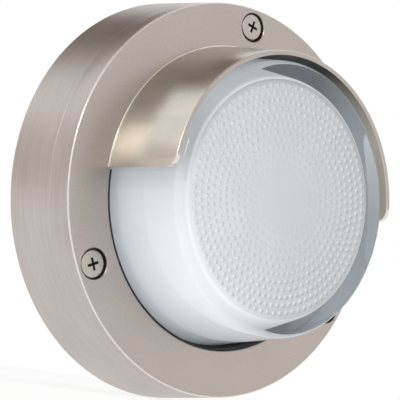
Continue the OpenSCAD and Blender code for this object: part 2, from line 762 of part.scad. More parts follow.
// The front ring: a face plate with a short side wall, screw bosses and a seat for the hood
module front_ring() {
  color([0.72, 0.69, 0.66]) stand_up() difference() {
    union() {
      rotate_extrude() polygon([
        [skirt_in_r, seam_d], [seam_r - seam_edge, seam_d], [side_r(seam_d + seam_edge), seam_d + seam_edge],
        [side_r(face_d - ring_edge), face_d - ring_edge], [ring_r - ring_edge, face_d],
        [opening_r + opening_edge, face_d], [opening_r, face_d - opening_edge],
        [opening_r, plate_d], [skirt_in_r, plate_d]
      ]);
      rotate([0, 0, 180]) rotate_extrude(angle = 180) translate([opening_r, seat_d])
        square([gasket_r + land_lap - opening_r, hood_flange_t + sink]);
      around(screw_circle_r, SCREW_ANGLES) post(boss_r, seam_d + seat_gap, plate_d + sink);
      around(recess_circle_r, SCREW_ANGLES) post(pad_r, recess_d - pad_t, plate_d + sink);
      around(small_circle_r, SMALL_ANGLES) {
        post(small_boss_r, retainer_d, plate_d + sink);
        translate([0, -web_t / 2, web_d])
          cube([skirt_in_r - small_circle_r + sink, web_t, plate_d - web_d + sink]);
      }
    }
    around(recess_circle_r, SCREW_ANGLES) post(recess_r, recess_d, face_d + over);
    around(screw_circle_r, SCREW_ANGLES) {
      post(screw_r + thread_fit, seam_d - over, face_d);
      post(captive_r + seat_gap, seam_d - over, seam_d + captive_t);
    }
    around(small_circle_r, SMALL_ANGLES) post(small_r + thread_fit, retainer_d - over, seat_d);
    intersection() {
      union() {
        post(hood_cut_r, plate_d - over, face_d + over);
        translate([0, 0, face_d - opening_edge])
          cylinder(r1 = hood_cut_r, r2 = hood_cut_r + 2 * opening_edge, h = 2 * opening_edge);
      }
      translate([-ring_r, hood_end - seat_gap, 0]) cube([2 * ring_r, ring_r, 2 * face_d]);
    }
  }
}

// The hood: half a tapered shell with a flange that the ring holds down
module hood() {
  corner = [hood_front_out_r - hood_edge_r, hood_front_d - hood_edge_r];
  inner_corner = [hood_front_in_r + hood_edge_r, hood_front_d - hood_edge_r];
  color([0.74, 0.71, 0.66]) stand_up() difference() {
    intersection() {
      rotate_extrude(angle = 180) polygon(concat(
        [[hood_in_r, seat_d], [hood_flange_r, seat_d], [hood_flange_r, plate_d], [hood_out_r, plate_d],
          [hood_out_r, face_d]],
        arc(corner, hood_edge_r, 0, 90),
        arc(inner_corner, hood_edge_r, 90, 180),
        [[hood_in_r, face_d]]
      ));
      hood_side_view();
    }
    rotate([0, 0, 90]) translate([recess_circle_r, 0]) post(pad_r + slide_fit, 0, plate_d + over);
  }
}

// The outline of the hood from the side, with its rounded front corners
module hood_side_view() {
  reach = 2 * ring_r;
  rotate([90, 0, 90]) linear_extrude(height = reach, center = true) {
    translate([hood_end, 0]) square([reach, hood_front_d - hood_corner_r]);
    translate([hood_end + hood_corner_r, 0]) square([reach, hood_front_d + over]);
    translate([hood_end + hood_corner_r, hood_front_d - hood_corner_r]) circle(r = hood_corner_r);
  }
}

// Thick pressed glass cup with a flange
module lens() {
  front_r = glass_r(lens_front_d);
  inside_r = cavity_r(lens_inside_d);
  outer = [front_r - lens_edge_r, lens_front_d - lens_edge_r];
  inner = [inside_r - lens_inner_r, lens_inside_d - lens_inner_r];
  color([0.86, 0.90, 0.92]) stand_up() rotate_extrude() polygon(concat(
    [[cavity_r(flange_bottom_d), flange_bottom_d], [lens_flange_r, flange_bottom_d],
      [lens_flange_r, flange_top_d], [glass_r(flange_top_d), flange_top_d]],
    arc(outer, lens_edge_r, 0, 90),
    [[0, lens_front_d], [0, lens_inside_d]],
    arc(inner, lens_inner_r, 90, 0)
  ));
}

// Black rubber channel round the edge of the lens flange
module lens_gasket() {
  front_in_r = glass_r(flange_top_d) + seat_gap;
  color([0.06, 0.06, 0.06]) stand_up() rotate_extrude() polygon([
    [front_in_r, seat_d], [gasket_r, seat_d], [gasket_r, retainer_d], [retainer_in_r, retainer_d],
    [retainer_in_r, flange_bottom_d], [lens_flange_r + seat_gap, flange_bottom_d],
    [lens_flange_r + seat_gap, flange_top_d], [front_in_r, flange_top_d]
  ]);
}

// Steel ring that holds the lens and its gasket in the front ring
module retaining_ring() {
  color([0.78, 0.78, 0.77]) stand_up() difference() {
    union() {
      post(gasket_r, retainer_d - retainer_t, retainer_d);
      around(small_circle_r, SMALL_ANGLES) {
        post(small_boss_r, retainer_d - retainer_t, retainer_d);
        translate([-2 * small_boss_r, -small_boss_r, retainer_d - retainer_t])
          cube([2 * small_boss_r, 2 * small_boss_r, retainer_t]);
      }
    }
    post(retainer_in_r, 0, retainer_d + over);
    around(small_circle_r, SMALL_ANGLES) post(small_r + slide_fit, 0, retainer_d + over);
  }
}

module retainer_screws() {
  color([0.75, 0.75, 0.74]) stand_up() around(small_circle_r, SMALL_ANGLES)
    translate([0, 0, retainer_d - retainer_t]) rotate([180, 0, 0])
      pan_screw(small_r, small_screw_l, small_head_r, small_head_h);
}

// Washers that keep the loosened cover screws in the ring
module captive_washers() {
  color([0.92, 0.92, 0.90]) stand_up() around(screw_circle_r, SCREW_ANGLES)
    tube(captive_r, screw_r + thread_fit, seam_d, seam_d + captive_t);
}

module cover_screw(angle) {
  color([0.76, 0.73, 0.69]) stand_up() around(screw_circle_r, [angle])
    translate([0, 0, recess_d]) rotate([0, 0, -angle])
      pan_screw(screw_r, screw_length, head_r, head_h);
}

module cover_screw_top() { cover_screw(SCREW_ANGLES[0]); }

module cover_screw_left() { cover_screw(SCREW_ANGLES[1]); }

module cover_screw_right() { cover_screw(SCREW_ANGLES[2]); }

// Places its children on the axis of the lamp, with +Z towards the lamp's tip
module on_lamp_axis() { translate([0, 0, lamp_d]) rotate([0, 90, 0]) children(); }

module lamp_glass() {
  tip_x = glass_x + lamp_length - lamp_r;
  color([0.9, 0.92, 0.94]) stand_up() on_lamp_axis() difference() {
    union() {
      post(lamp_r, glass_x, tip_x);
      translate([0, 0, tip_x]) sphere(r = lamp_r);
    }
    post(lamp_r - lamp_wall, glass_x + lamp_end_t, tip_x);
    translate([0, 0, tip_x]) sphere(r = lamp_r - lamp_wall);
    post(stem_r, glass_x - over, glass_x + lamp_end_t + over);
  }
}

// Flat ceramic base that the pins stand in
module lamp_base() {
  color([0.9, 0.89, 0.86]) stand_up()
    translate([-holder_mouth, -base_w / 2, lamp_d - base_t / 2]) cube([base_l, base_w, base_t]);
}

// Two wire loops that plug into the holder
module lamp_pins() {
  color([0.75, 0.74, 0.70]) stand_up() for (y = [-1, 1] * pin_spacing / 2)
    translate([-holder_mouth, y, lamp_d]) {
      straight = pin_length - pin_bend - pin_r;
      for (z = [-1, 1] * pin_bend) translate([0, 0, z]) rotate([0, -90, 0])
        cylinder(r = pin_r, h = straight);
      translate([-straight, 0, 0]) rotate([90, 90, 0]) rotate([0, 0, 180])
        rotate_extrude(angle = 180) translate([pin_bend, 0]) circle(r = pin_r, $fn = wire_steps);
    }
}

module lamp_filament() {
  color([0.5, 0.5, 0.52]) stand_up() {
    translate([0, 0, lamp_d]) {
      translate([coil_x, 0, 0]) rotate([0, 90, 0]) cylinder(r = coil_r, h = coil_l);
      for (end = [[-wire_side, coil_x], [wire_side, coil_x + coil_l]])
        translate([glass_x, end[0], 0]) rotate([0, 90, 0])
          cylinder(r = wire_r, h = end[1] - glass_x + 2 * wire_r, $fn = wire_steps);
      for (end = [[0, coil_x + wire_in], [180, coil_x + coil_l]])
        translate([end[1], 0, 0]) rotate([90, 0, end[0]])
          cylinder(r = wire_r, h = wire_side, $fn = wire_steps);
    }
  }
}

rear_housing();
wall_gasket();
mounting_strap();
strap_screws();
sealing_washers();
cable_grommet();
seam_seal();
threaded_inserts();
reflector_pan();
pan_screws();
lampholder_bracket();
bracket_rivets();
lampholder_body();
lampholder_contacts();
lampholder_screws();
terminal_block();
terminal_sleeves();
terminal_screws();
block_screws();
line_lead();
neutral_lead();
lead_bushings();
earth_lead();
earth_ring_terminal();
earth_screw();
front_ring();
hood();
lens();
lens_gasket();
retaining_ring();
retainer_screws();
captive_washers();
cover_screw_top();
cover_screw_left();
cover_screw_right();
lamp_glass();
lamp_base();
lamp_pins();
lamp_filament();
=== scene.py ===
# %% [markdown]
# # A nautical wall light
# A deep round housing holds a flat metal ring. A half hood stands out of the ring over a thick glass cup
# that is frosted inside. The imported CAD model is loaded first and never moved, and the main sizes are
# read from it. Its meshes could be shown as they are, but their edges are hard. So the forms that carry
# the look (ring, hood, glass, screws) are turned and cut again with fine rounded edges, because a bright
# line along an edge is what makes metal and glass look real.

# %% Load the frame
import json
import math

import bmesh
import bpy
from mathutils import Matrix, Vector


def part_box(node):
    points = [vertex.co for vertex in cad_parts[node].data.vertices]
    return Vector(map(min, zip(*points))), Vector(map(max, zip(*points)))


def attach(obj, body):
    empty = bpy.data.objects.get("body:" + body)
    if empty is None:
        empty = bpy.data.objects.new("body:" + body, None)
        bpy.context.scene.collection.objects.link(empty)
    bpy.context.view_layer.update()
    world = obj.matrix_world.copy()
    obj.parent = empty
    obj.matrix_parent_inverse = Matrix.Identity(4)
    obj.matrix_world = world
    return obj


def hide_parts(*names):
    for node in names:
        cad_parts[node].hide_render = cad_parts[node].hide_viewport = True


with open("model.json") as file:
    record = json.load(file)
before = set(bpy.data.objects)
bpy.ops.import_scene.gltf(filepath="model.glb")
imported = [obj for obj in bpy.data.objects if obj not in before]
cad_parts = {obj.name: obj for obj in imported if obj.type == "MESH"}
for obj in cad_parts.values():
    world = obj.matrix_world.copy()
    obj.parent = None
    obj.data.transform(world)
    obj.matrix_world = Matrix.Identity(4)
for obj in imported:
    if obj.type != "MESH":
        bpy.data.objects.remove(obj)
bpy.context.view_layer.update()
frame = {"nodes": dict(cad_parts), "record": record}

MM = 0.001

# %% [markdown]
# ## Sizes
# The light is drawn about the Y axis, with the wall at y = 0 and the front towards -Y. A radius is
# measured from that axis and a distance from the wall, both in millimetres. Where the box of a CAD node
# gives a size, it is read from there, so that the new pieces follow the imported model.

# %% Read the sizes of the light
def front_of(node):
    return -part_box(node)[0].y / MM


def back_of(node):
    return -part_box(node)[1].y / MM


def reach_of(node):
    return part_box(node)[1].x / MM


seam_d = front_of("seam_seal")
face_d = front_of("front_ring")
seat_d = front_of("lens_gasket")
flange_d = back_of("lens")
lens_front_d = front_of("lens")
hood_front_d = front_of("hood")
screw_head_d = front_of("cover_screw_top")
seam_r = reach_of("front_ring")
lens_flange_r = reach_of("lens")
hood_flange_r = reach_of("hood")
print("face", round(face_d, 2), "lens front", round(lens_front_d, 2), "seam radius", round(seam_r, 2))

# %% [markdown]
# ## Sizes that no box gives
# A box tells how far a node reaches, and not how thick its walls are. These sizes are the ones that the
# CAD source works with, written out once. The glass is a cone, so two small functions give its outside
# and its inside at any distance from the wall.

# %% Name the sizes that no box gives
plate_t = 3.0
opening_r = 48.5
ring_r = 63.5
skirt_in_r = 60.4
recess_r = 5.0
recess_depth = 2.6
recess_circle_r = 57.0
screw_circle_r = 57.5
glass_base_r = 46.2
glass_taper = 3.4
glass_wall = 5.6
glass_front_t = 4.0
hood_t = 1.5
hood_base_in_r = 47.9
hood_front_in_r = 44.4
hood_end = 1.0
hood_corner_r = 4.2
plate_d = face_d - plate_t
recess_d = face_d - recess_depth
SCREW_ANGLES = {"top": 90, "left": 210, "right": 330}


def glass_r(distance):
    return glass_base_r - (distance - face_d) * glass_taper / (lens_front_d - face_d)


def cavity_r(distance):
    return glass_r(distance) - glass_wall


print("glass radius at the face and at the front", glass_r(face_d), round(glass_r(lens_front_d), 2))

# %% [markdown]
# ## The camera
# The light was seen from the left and a little turned about its own axis. The model stands upright, so
# the camera is turned by the same angle about that axis instead. It could be placed by eye, but ellipses
# fitted to the round edges place it much better. They know only proportions, so its distances are in
# ring radii.

# %% Place the camera
view_azimuth = math.radians(-40.03)
view_elevation = math.radians(-0.89)
camera_roll = 0.0059
light_turn = math.radians(9.7)
camera_away = 7.992 * ring_r * MM
aim_right = 0.1222 * ring_r * MM
aim_up = 0.0029 * ring_r * MM
focal_px = 1511.6
frame_px = 400
sensor_mm = 36
nearest_seen = 0.01

away = Vector((math.sin(view_azimuth) * math.cos(view_elevation),
               -math.cos(view_azimuth) * math.cos(view_elevation),
               math.sin(view_elevation)))
level_right = Vector((math.cos(view_azimuth), math.sin(view_azimuth), 0))
level_up = away.cross(level_right)
right = math.cos(camera_roll) * level_right + math.sin(camera_roll) * level_up
up = math.cos(camera_roll) * level_up - math.sin(camera_roll) * level_right
spot = away * camera_away + right * aim_right + up * aim_up
turn = Matrix.Rotation(-light_turn, 3, "Y")
right, up, away, spot = turn @ right, turn @ up, turn @ away, turn @ spot

camera = bpy.data.objects.new("camera", bpy.data.cameras.new("camera"))
bpy.context.scene.collection.objects.link(camera)
camera.matrix_world = Matrix.Translation(spot) @ Matrix((right, up, away)).transposed().to_4x4()
camera.data.sensor_width = sensor_mm
camera.data.lens = focal_px / frame_px * sensor_mm
camera.data.clip_start = nearest_seen
bpy.context.scene.camera = camera
print("camera at", [round(v, 4) for v in spot], "lens", round(camera.data.lens, 1), "mm")

# %% [markdown]
# ## Colour and nodes
# Colours are written as the hex values that a paint chart gives. Shaders compute with linear light, so
# the sRGB curve turns each colour once. Nodes could be placed by hand in the shader editor. Here a small
# function adds a node with its settings and its links, so that each material reads as a short recipe.
# Grain is noise in the coordinates of the object, so that it moves with the piece.

# %% Helpers for materials
RAMP_START = 0.3
RAMP_END = 0.7


def linear(hex_colour):
    """The linear red, green, blue and alpha of an sRGB colour."""
    parts = [int(hex_colour[i:i + 2], 16) / 255 for i in (1, 3, 5)]
    return [p / 12.92 if p <= 0.04045 else ((p + 0.055) / 1.055) ** 2.4 for p in parts] + [1.0]


def add(tree, kind, settings=None, values=None, links=None):
    """Adds a shader node, with its settings, the values of its sockets and its links."""
    node = tree.nodes.new("ShaderNode" + kind)
    for name, value in (settings or {}).items():
        setattr(node, name, value)
    for socket, value in (values or {}).items():
        node.inputs[socket].default_value = value
    for socket, source in (links or {}).items():
        tree.links.new(source, node.inputs[socket])
    return node


def start_material(name):
    material = bpy.data.materials.new(name)
    material.use_nodes = True
    material.node_tree.nodes.clear()
    return material, material.node_tree


def finish_material(tree, shader):
    add(tree, "OutputMaterial", links={"Surface": shader.outputs[0]})


def pattern(tree, size_mm, detail=2.0):
    """Noise whose grain measures size_mm along X, Y and Z of the object."""
    place = add(tree, "TexCoord")
    scaled = add(tree, "Mapping", values={"Scale": [1 / (s * MM) for s in size_mm]},
                 links={"Vector": place.outputs["Object"]})
    return add(tree, "TexNoise", values={"Scale": 1.0, "Detail": detail, "Roughness": 0.5},
               links={"Vector": scaled.outputs["Vector"]}).outputs["Fac"]


def between(tree, factor, low, high):
    """The colour low where factor is small, and high where it is large."""
    ramp = add(tree, "ValToRGB", links={"Fac": factor})
    ramp.color_ramp.elements[0].position = RAMP_START
    ramp.color_ramp.elements[1].position = RAMP_END
    ramp.color_ramp.elements[0].color = linear(low)
    ramp.color_ramp.elements[1].color = linear(high)
    return ramp.outputs["Color"]


def spread(tree, factor, low, high):
    return add(tree, "MapRange", values={"To Min": low, "To Max": high},
               links={"Value": factor}).outputs["Result"]


def along(tree, direction, scale_mm, least=0.0):
    """Grows from least to 1 between two distances along a direction of the object."""
    place = add(tree, "TexCoord")
    reach = add(tree, "VectorMath", {"operation": "DOT_PRODUCT"}, {1: direction},
                {0: place.outputs["Object"]})
    start, end = scale_mm
    return add(tree, "MapRange", values={"From Min": start * MM, "From Max": end * MM, "To Min": least},
               links={"Value": reach.outputs["Value"]}).outputs["Result"]


def ray_is(tree, *kinds):
    """Gives 1 for a ray of one of these kinds, and 0 for any other."""
    rays = add(tree, "LightPath")
    found = rays.outputs[kinds[0]]
    for kind in kinds[1:]:
        found = add(tree, "Math", {"operation": "MAXIMUM"},
                    links={0: found, 1: rays.outputs[kind]}).outputs[0]
    return found


print("white is", linear("#ffffff"))

# %% [markdown]
# ## Metal finishes
# The housing and the ring are cast metal under satin nickel plate, which has a warm, slightly pink grey.
# A photo of brushed metal could be laid over them, but noise has no seams and fits any shape. The side
# is brushed while it turns, so its marks run round it: fine across, long along. The ring's face is finer
# and cloudy. The hood is pressed sheet with soft streaks from polishing. Polishing wears edges smoother
# than the surfaces beside them, and their lighter colour is a painted highlight that draws the crisp
# light lines. Polishing doesn't reach into the recesses, which stay rough, and their darker colour is
# painted shade.

# %% Make the metals
grain_share = 0.45
cloud_low = 0.1
cloud_high = 0.45
smooth_patch = 0.05
rough_patch = 0.06


def metal(name, low, high, grain_mm, cloud_mm, roughness, bump_mm, bump_strength):
    """Grain and cloud mix the tone. Grain also lifts the surface, and cloud roughens it."""
    material, tree = start_material(name)
    grain = pattern(tree, grain_mm, detail=3.0)
    cloud = pattern(tree, cloud_mm)
    tone = add(tree, "Math", {"operation": "MULTIPLY_ADD"}, {1: grain_share},
               {0: grain, 2: spread(tree, cloud, cloud_low, cloud_high)})
    bump = add(tree, "Bump", values={"Strength": bump_strength, "Distance": bump_mm * MM},
               links={"Height": grain})
    shader = add(tree, "BsdfPrincipled", values={"Metallic": 1.0}, links={
        "Base Color": between(tree, tone.outputs[0], low, high),
        "Roughness": spread(tree, cloud, roughness - smooth_patch, roughness + rough_patch),
        "Normal": bump.outputs["Normal"]})
    finish_material(tree, shader)
    return material


satin_side = metal("satin_nickel_brushed_side", "#b8afaa", "#d3cbc6", grain_mm=(14, 0.35, 14),
                   cloud_mm=(34, 20, 34), roughness=0.34, bump_mm=0.02, bump_strength=0.3)
satin_face = metal("satin_nickel_cast_face", "#aca39c", "#c4bbb5", grain_mm=(0.5, 0.5, 0.5),
                   cloud_mm=(38, 38, 38), roughness=0.33, bump_mm=0.015, bump_strength=0.2)
satin_hood = metal("satin_nickel_pressed_hood", "#c9c3b9", "#e0dad0", grain_mm=(5, 20, 5),
                   cloud_mm=(9, 24, 9), roughness=0.25, bump_mm=0.05, bump_strength=0.3)
# Burnished edges: lower roughness, and a lighter colour that is a painted highlight.
burnish_and_painted_highlight = metal("burnished_edge_painted_highlight", "#dfd9d2", "#efeae4", grain_mm=(3, 3, 3),
                  cloud_mm=(20, 20, 20), roughness=0.18, bump_mm=0.01, bump_strength=0.05)
screw_plate = metal("nickel_plated_screw", "#b0a8a0", "#cbc4bc", grain_mm=(0.6, 0.6, 0.6),
                    cloud_mm=(6, 6, 6), roughness=0.28, bump_mm=0.01, bump_strength=0.15)
# Rough recesses whose darker colour is painted shade.
rough_recess_painted_shade = metal("rough_cast_recess_painted_shade", "#7a7068", "#928880", grain_mm=(0.4, 0.4, 0.4),
                   cloud_mm=(4, 4, 4), roughness=0.5, bump_mm=0.03, bump_strength=0.4)
zinc = metal("zinc_plated_steel", "#b8babb", "#d6d8d9", grain_mm=(1.2, 1.2, 1.2),
             cloud_mm=(12, 12, 12), roughness=0.3, bump_mm=0.01, bump_strength=0.2)
aluminium = metal("mill_finish_aluminium", "#c0c0c0", "#dcdcdc", grain_mm=(0.8, 0.8, 6),
                  cloud_mm=(10, 10, 10), roughness=0.32, bump_mm=0.01, bump_strength=0.2)
brass = metal("turned_brass", "#b08a48", "#cfa965", grain_mm=(6, 0.25, 6),
              cloud_mm=(8, 8, 8), roughness=0.25, bump_mm=0.01, bump_strength=0.3)
bronze = metal("spring_bronze_strip", "#b48d52", "#d0aa6c", grain_mm=(0.5, 4, 4),
               cloud_mm=(8, 8, 8), roughness=0.28, bump_mm=0.01, bump_strength=0.2)
tin = metal("tinned_copper", "#b7b5ad", "#d6d4cb", grain_mm=(0.8, 0.8, 0.8),
            cloud_mm=(5, 5, 5), roughness=0.3, bump_mm=0.01, bump_strength=0.2)
pin_wire = metal("nickel_wire", "#b4b2ab", "#d2d0c9", grain_mm=(4, 0.3, 0.3),
                 cloud_mm=(5, 5, 5), roughness=0.25, bump_mm=0.01, bump_strength=0.2)
tungsten = metal("drawn_tungsten_coil", "#55565a", "#7c7d80", grain_mm=(0.25, 4, 4),
                 cloud_mm=(3, 3, 3), roughness=0.4, bump_mm=0.05, bump_strength=0.7)
print("materials so far", len(bpy.data.materials))

# %% [markdown]
# ## The inside of the hood
# Polishing doesn't reach the inside of the hood either, which stays rougher. Its colour is painted shade:
# dark on the left and lighter towards the right, as the light falls there. A dark card beside the light
# could do that, but it would show in the glass too. So the colour itself changes across the width of
# the light.

# %% Shade the inside of the hood
hood_shade_scale_x = (-8, 56)
hood_inside_painted_shade, tree = start_material("inside_of_hood_painted_shade")
painted_shade_across_hood = between(tree, along(tree, (1, 0, 0), hood_shade_scale_x), "#191613", "#d6cfc1")
finish_material(tree, add(tree, "BsdfPrincipled", values={"Metallic": 1.0, "Roughness": 0.42},
                          links={"Base Color": painted_shade_across_hood}))
print("materials so far", len(bpy.data.materials))

# %% [markdown]
# ## Rubber, ceramic, enamel and coatings
# These reflect light as paint does, and not as bare metal. One flat colour would do from far away, but
# here it varies a little, and each surface is as it was made: moulded rubber is matte, steatite is
# chalky, stove enamel is smooth and flows to a soft gloss, nylon has a moulded sheen.

# %% Make the other solids
def matte(name, low, high, grain_mm, roughness, bump_mm, bump_strength, ior=1.5):
    material, tree = start_material(name)
    grain = pattern(tree, (grain_mm, grain_mm, grain_mm), detail=3.0)
    bump = add(tree, "Bump", values={"Strength": bump_strength, "Distance": bump_mm * MM},
               links={"Height": grain})
    shader = add(tree, "BsdfPrincipled", values={"IOR": ior}, links={
        "Base Color": between(tree, grain, low, high),
        "Roughness": spread(tree, grain, roughness - rough_patch, roughness + rough_patch),
        "Normal": bump.outputs["Normal"]})
    finish_material(tree, shader)
    return material


rubber = matte("moulded_black_rubber", "#0b0b0c", "#19191a", grain_mm=1.5, roughness=0.6,
               bump_mm=0.03, bump_strength=0.3, ior=1.52)
foam = matte("closed_cell_foam_rubber", "#121213", "#262627", grain_mm=0.7, roughness=0.85,
             bump_mm=0.12, bump_strength=0.8)
silicone = matte("moulded_silicone", "#c8c1af", "#d8d2c2", grain_mm=1.5, roughness=0.5,
                 bump_mm=0.02, bump_strength=0.2, ior=1.43)
enamel = matte("white_stove_enamel", "#e6e6e1", "#f0f0ec", grain_mm=4.0, roughness=0.28,
               bump_mm=0.03, bump_strength=0.15)
steatite = matte("unglazed_steatite", "#ddd9cb", "#ece9de", grain_mm=0.8, roughness=0.7,
                 bump_mm=0.03, bump_strength=0.3, ior=1.58)
nylon = matte("moulded_nylon", "#dcdcd4", "#e9e9e3", grain_mm=2.0, roughness=0.45,
              bump_mm=0.02, bump_strength=0.2, ior=1.53)
green_steel = matte("green_passivated_steel", "#2b6b3a", "#3f8550", grain_mm=1.0, roughness=0.35,
                    bump_mm=0.02, bump_strength=0.3)
# Painted shade for the inside of the screw crosses.
cross_painted_shade = matte("cross_recess_painted_shade", "#1d1a17", "#2c2723", grain_mm=0.5, roughness=0.7,
                    bump_mm=0.02, bump_strength=0.3)


def sleeve(colour, low, high):
    """The silicone sleeve of a lead, which differs only in its colour."""
    return matte(colour + "_silicone_sleeve", low, high, grain_mm=1.5, roughness=0.5, bump_mm=0.03,
                 bump_strength=0.3, ior=1.43)


brown = sleeve("brown", "#4a2a1b", "#5f3825")
blue = sleeve("blue", "#24458f", "#2f54a3")
green = sleeve("green", "#357a2c", "#469238")
print("materials so far", len(bpy.data.materials))

# %% [markdown]
# ## Clear glass
# The cup is thick pressed soda lime glass, clear outside, and the lamp's envelope is thin clear quartz.
# Glass could bend every ray, but few bent rays would find a lamp, and the frost inside would stay dark
# and noisy. So shadow rays, and those that leave the frost, pass the clear glass unbent.

# %% Make the clear glasses
ripple_mm = 9


def clear_glass(name, colour, ior, roughness):
    material, tree = start_material(name)
    ripple = add(tree, "Bump", values={"Strength": 0.08, "Distance": 0.05 * MM},
                 links={"Height": pattern(tree, (ripple_mm, ripple_mm, ripple_mm))})
    glass = add(tree, "BsdfPrincipled", links={"Normal": ripple.outputs["Normal"]}, values={
        "Base Color": linear(colour), "IOR": ior, "Roughness": roughness, "Transmission Weight": 1.0})
    clear = add(tree, "BsdfTransparent", values={"Color": linear(colour)})
    finish_material(tree, add(tree, "MixShader", links={
        0: ray_is(tree, "Is Shadow Ray", "Is Diffuse Ray"), 1: glass.outputs[0], 2: clear.outputs[0]}))
    return material


pressed_glass = clear_glass("pressed_clear_glass", "#fefefe", ior=1.5, roughness=0.02)
quartz = clear_glass("clear_quartz", "#fbfdfd", ior=1.46, roughness=0.01)
print("materials so far", len(bpy.data.materials))

# %% [markdown]
# ## Frosted glass
# The inside of the cup is etched, which scatters the light and looks pale and slightly blue. Light that
# passes the etch scatters in the cup and comes out again through its side wall. Computing that would
# take far more rays, so a faint glow on the lining stands for it, stronger towards the top, under the
# hood. The lamp itself is off, and the etch on the front has no glow. The flange is ground and glows
# very little. It shows as a slate grey crescent through the front, and its colour carries painted
# shade: darker on the left and lighter on the right.

# %% Make the frosted glasses
etch_mm = 0.4
mottle_mm = 18
glow_scale_z = (-14, 42)
ground_shade_scale_x = (12, 52)


def frosted(name, low, high, glow=0.0, direction=None):
    """Etched glass, mottled, or with painted shade along a direction where one is given."""
    material, tree = start_material(name)
    etch = pattern(tree, (etch_mm, etch_mm, etch_mm), detail=3.0)
    bump = add(tree, "Bump", values={"Strength": 0.15, "Distance": 0.02 * MM}, links={"Height": etch})
    if direction:
        tone = along(tree, direction, ground_shade_scale_x)
    else:
        tone = pattern(tree, (mottle_mm, mottle_mm, mottle_mm))
    inner_light = between(tree, along(tree, (0, 0, 1), glow_scale_z), "#828689", "#b0b5b9")
    shader = add(tree, "BsdfPrincipled", values={"IOR": 1.5, "Roughness": 0.75, "Emission Strength": glow},
                 links={"Base Color": between(tree, tone, low, high), "Emission Color": inner_light,
                        "Normal": bump.outputs["Normal"]})
    finish_material(tree, shader)
    return material


frost = frosted("acid_etched_frost", "#a9adb1", "#afb3b7", glow=0.9)
frost_front = frosted("acid_etched_front", "#bcbfc3", "#c1c4c7")
# The flange's tone is painted shade, darker on the left and lighter on the right.
ground = frosted("ground_glass_flange", "#6f7a84", "#cfd6db", glow=0.12, direction=(1, 0, 0))
print("materials so far", len(bpy.data.materials))

# %% [markdown]
# ## Frost of the dimples
# The dimples are etched like the front. Their tone is painted shade: each is darker on the side that
# faces the lower right, most of all near the rim and at the lower right of the cup. A lamp could shade
# them so, but it would change the metal too. So the painted tone follows the slope of each face, times
# how far out and how low it lies.

# %% Make the frost of the dimples
lower_right = (0.8, 0, -0.6)
light_until_r = 8
dark_from_r = 32
shade_scale = (-30, 25)
least_shade = 0.3
level_tone = 0.5
dimple_frost_and_painted_shade, tree = start_material("acid_etched_dimple_painted_shade")
place = add(tree, "TexCoord")
surface = add(tree, "NewGeometry")
flat = add(tree, "VectorMath", {"operation": "MULTIPLY"}, {1: (1, 0, 1)}, {0: place.outputs["Object"]})
middle = add(tree, "VectorMath", {"operation": "LENGTH"}, links={0: flat.outputs["Vector"]})
lean = add(tree, "VectorMath", {"operation": "DOT_PRODUCT"}, {1: lower_right},
           {0: surface.outputs["Normal"]})
outer = add(tree, "MapRange", values={"From Min": light_until_r * MM, "From Max": dark_from_r * MM},
            links={"Value": middle.outputs["Value"]})
# How strongly the painted shade shows: more near the rim and at the lower right.
deep = add(tree, "Math", {"operation": "MULTIPLY"}, links={
    0: outer.outputs[0], 1: along(tree, lower_right, shade_scale, least_shade)})
painted_relief_shade = add(tree, "Math", {"operation": "MULTIPLY_ADD"}, {2: level_tone},
             {0: lean.outputs["Value"], 1: deep.outputs[0]})
tone = add(tree, "ValToRGB", links={"Fac": painted_relief_shade.outputs[0]})
tone.color_ramp.elements[0].color = linear("#dcdfe2")
tone.color_ramp.elements[1].color = linear("#959a9f")
finish_material(tree, add(tree, "BsdfPrincipled", values={"IOR": 1.5, "Roughness": 0.75},
                          links={"Base Color": tone.outputs["Color"]}))
print("materials so far", len(bpy.data.materials))

# %% [markdown]
# ## Turned forms
# Almost every form of this light is round about one axis. A curve with the Screw modifier could draw
# them. Here a helper draws half a section as a face, rounds its corners with a vertex bevel and spins
# its outline, because each corner can then have its own rounding. Normals are worked out again after
# the spin, because a spin can turn a shape inside out.

# %% Helpers for turned forms and boxes
STEPS = 192
ROUND_STEPS = 6
CORNER_STEPS = 10
MERGE_MM = 0.0005
TINY = 1e-6


def turned(outline, steps=STEPS):
    """A closed turned form in a bmesh, from (radius, distance, rounding) corners in millimetres."""
    bm = bmesh.new()
    corners = [bm.verts.new((radius * MM, -distance * MM, 0)) for radius, distance, rounding in outline]
    bm.faces.new(corners)
    for corner, (radius, distance, rounding) in zip(corners, outline):
        if rounding:
            bmesh.ops.bevel(bm, geom=[corner], offset=rounding * MM, offset_type="OFFSET",
                            segments=ROUND_STEPS, profile=0.5, affect="VERTICES", clamp_overlap=True,
                            material=-1)
    bmesh.ops.delete(bm, geom=bm.faces[:], context="FACES_ONLY")
    on_axis = [e for e in bm.edges if max(v.co.x for v in e.verts) < TINY]
    bmesh.ops.delete(bm, geom=on_axis, context="EDGES")
    bmesh.ops.spin(bm, geom=bm.verts[:] + bm.edges[:], cent=(0, 0, 0), axis=(0, 1, 0), dvec=(0, 0, 0),
                   angle=math.tau, steps=steps, use_merge=True)
    bmesh.ops.remove_doubles(bm, verts=bm.verts[:], dist=MERGE_MM * MM)
    bmesh.ops.recalc_face_normals(bm, faces=bm.faces[:])
    return bm


def rod(radius, start_d, end_d, steps=STEPS):
    """A plain cylinder about the Y axis, between two distances from the wall."""
    return turned([(0, start_d, 0), (radius, start_d, 0), (radius, end_d, 0), (0, end_d, 0)], steps)


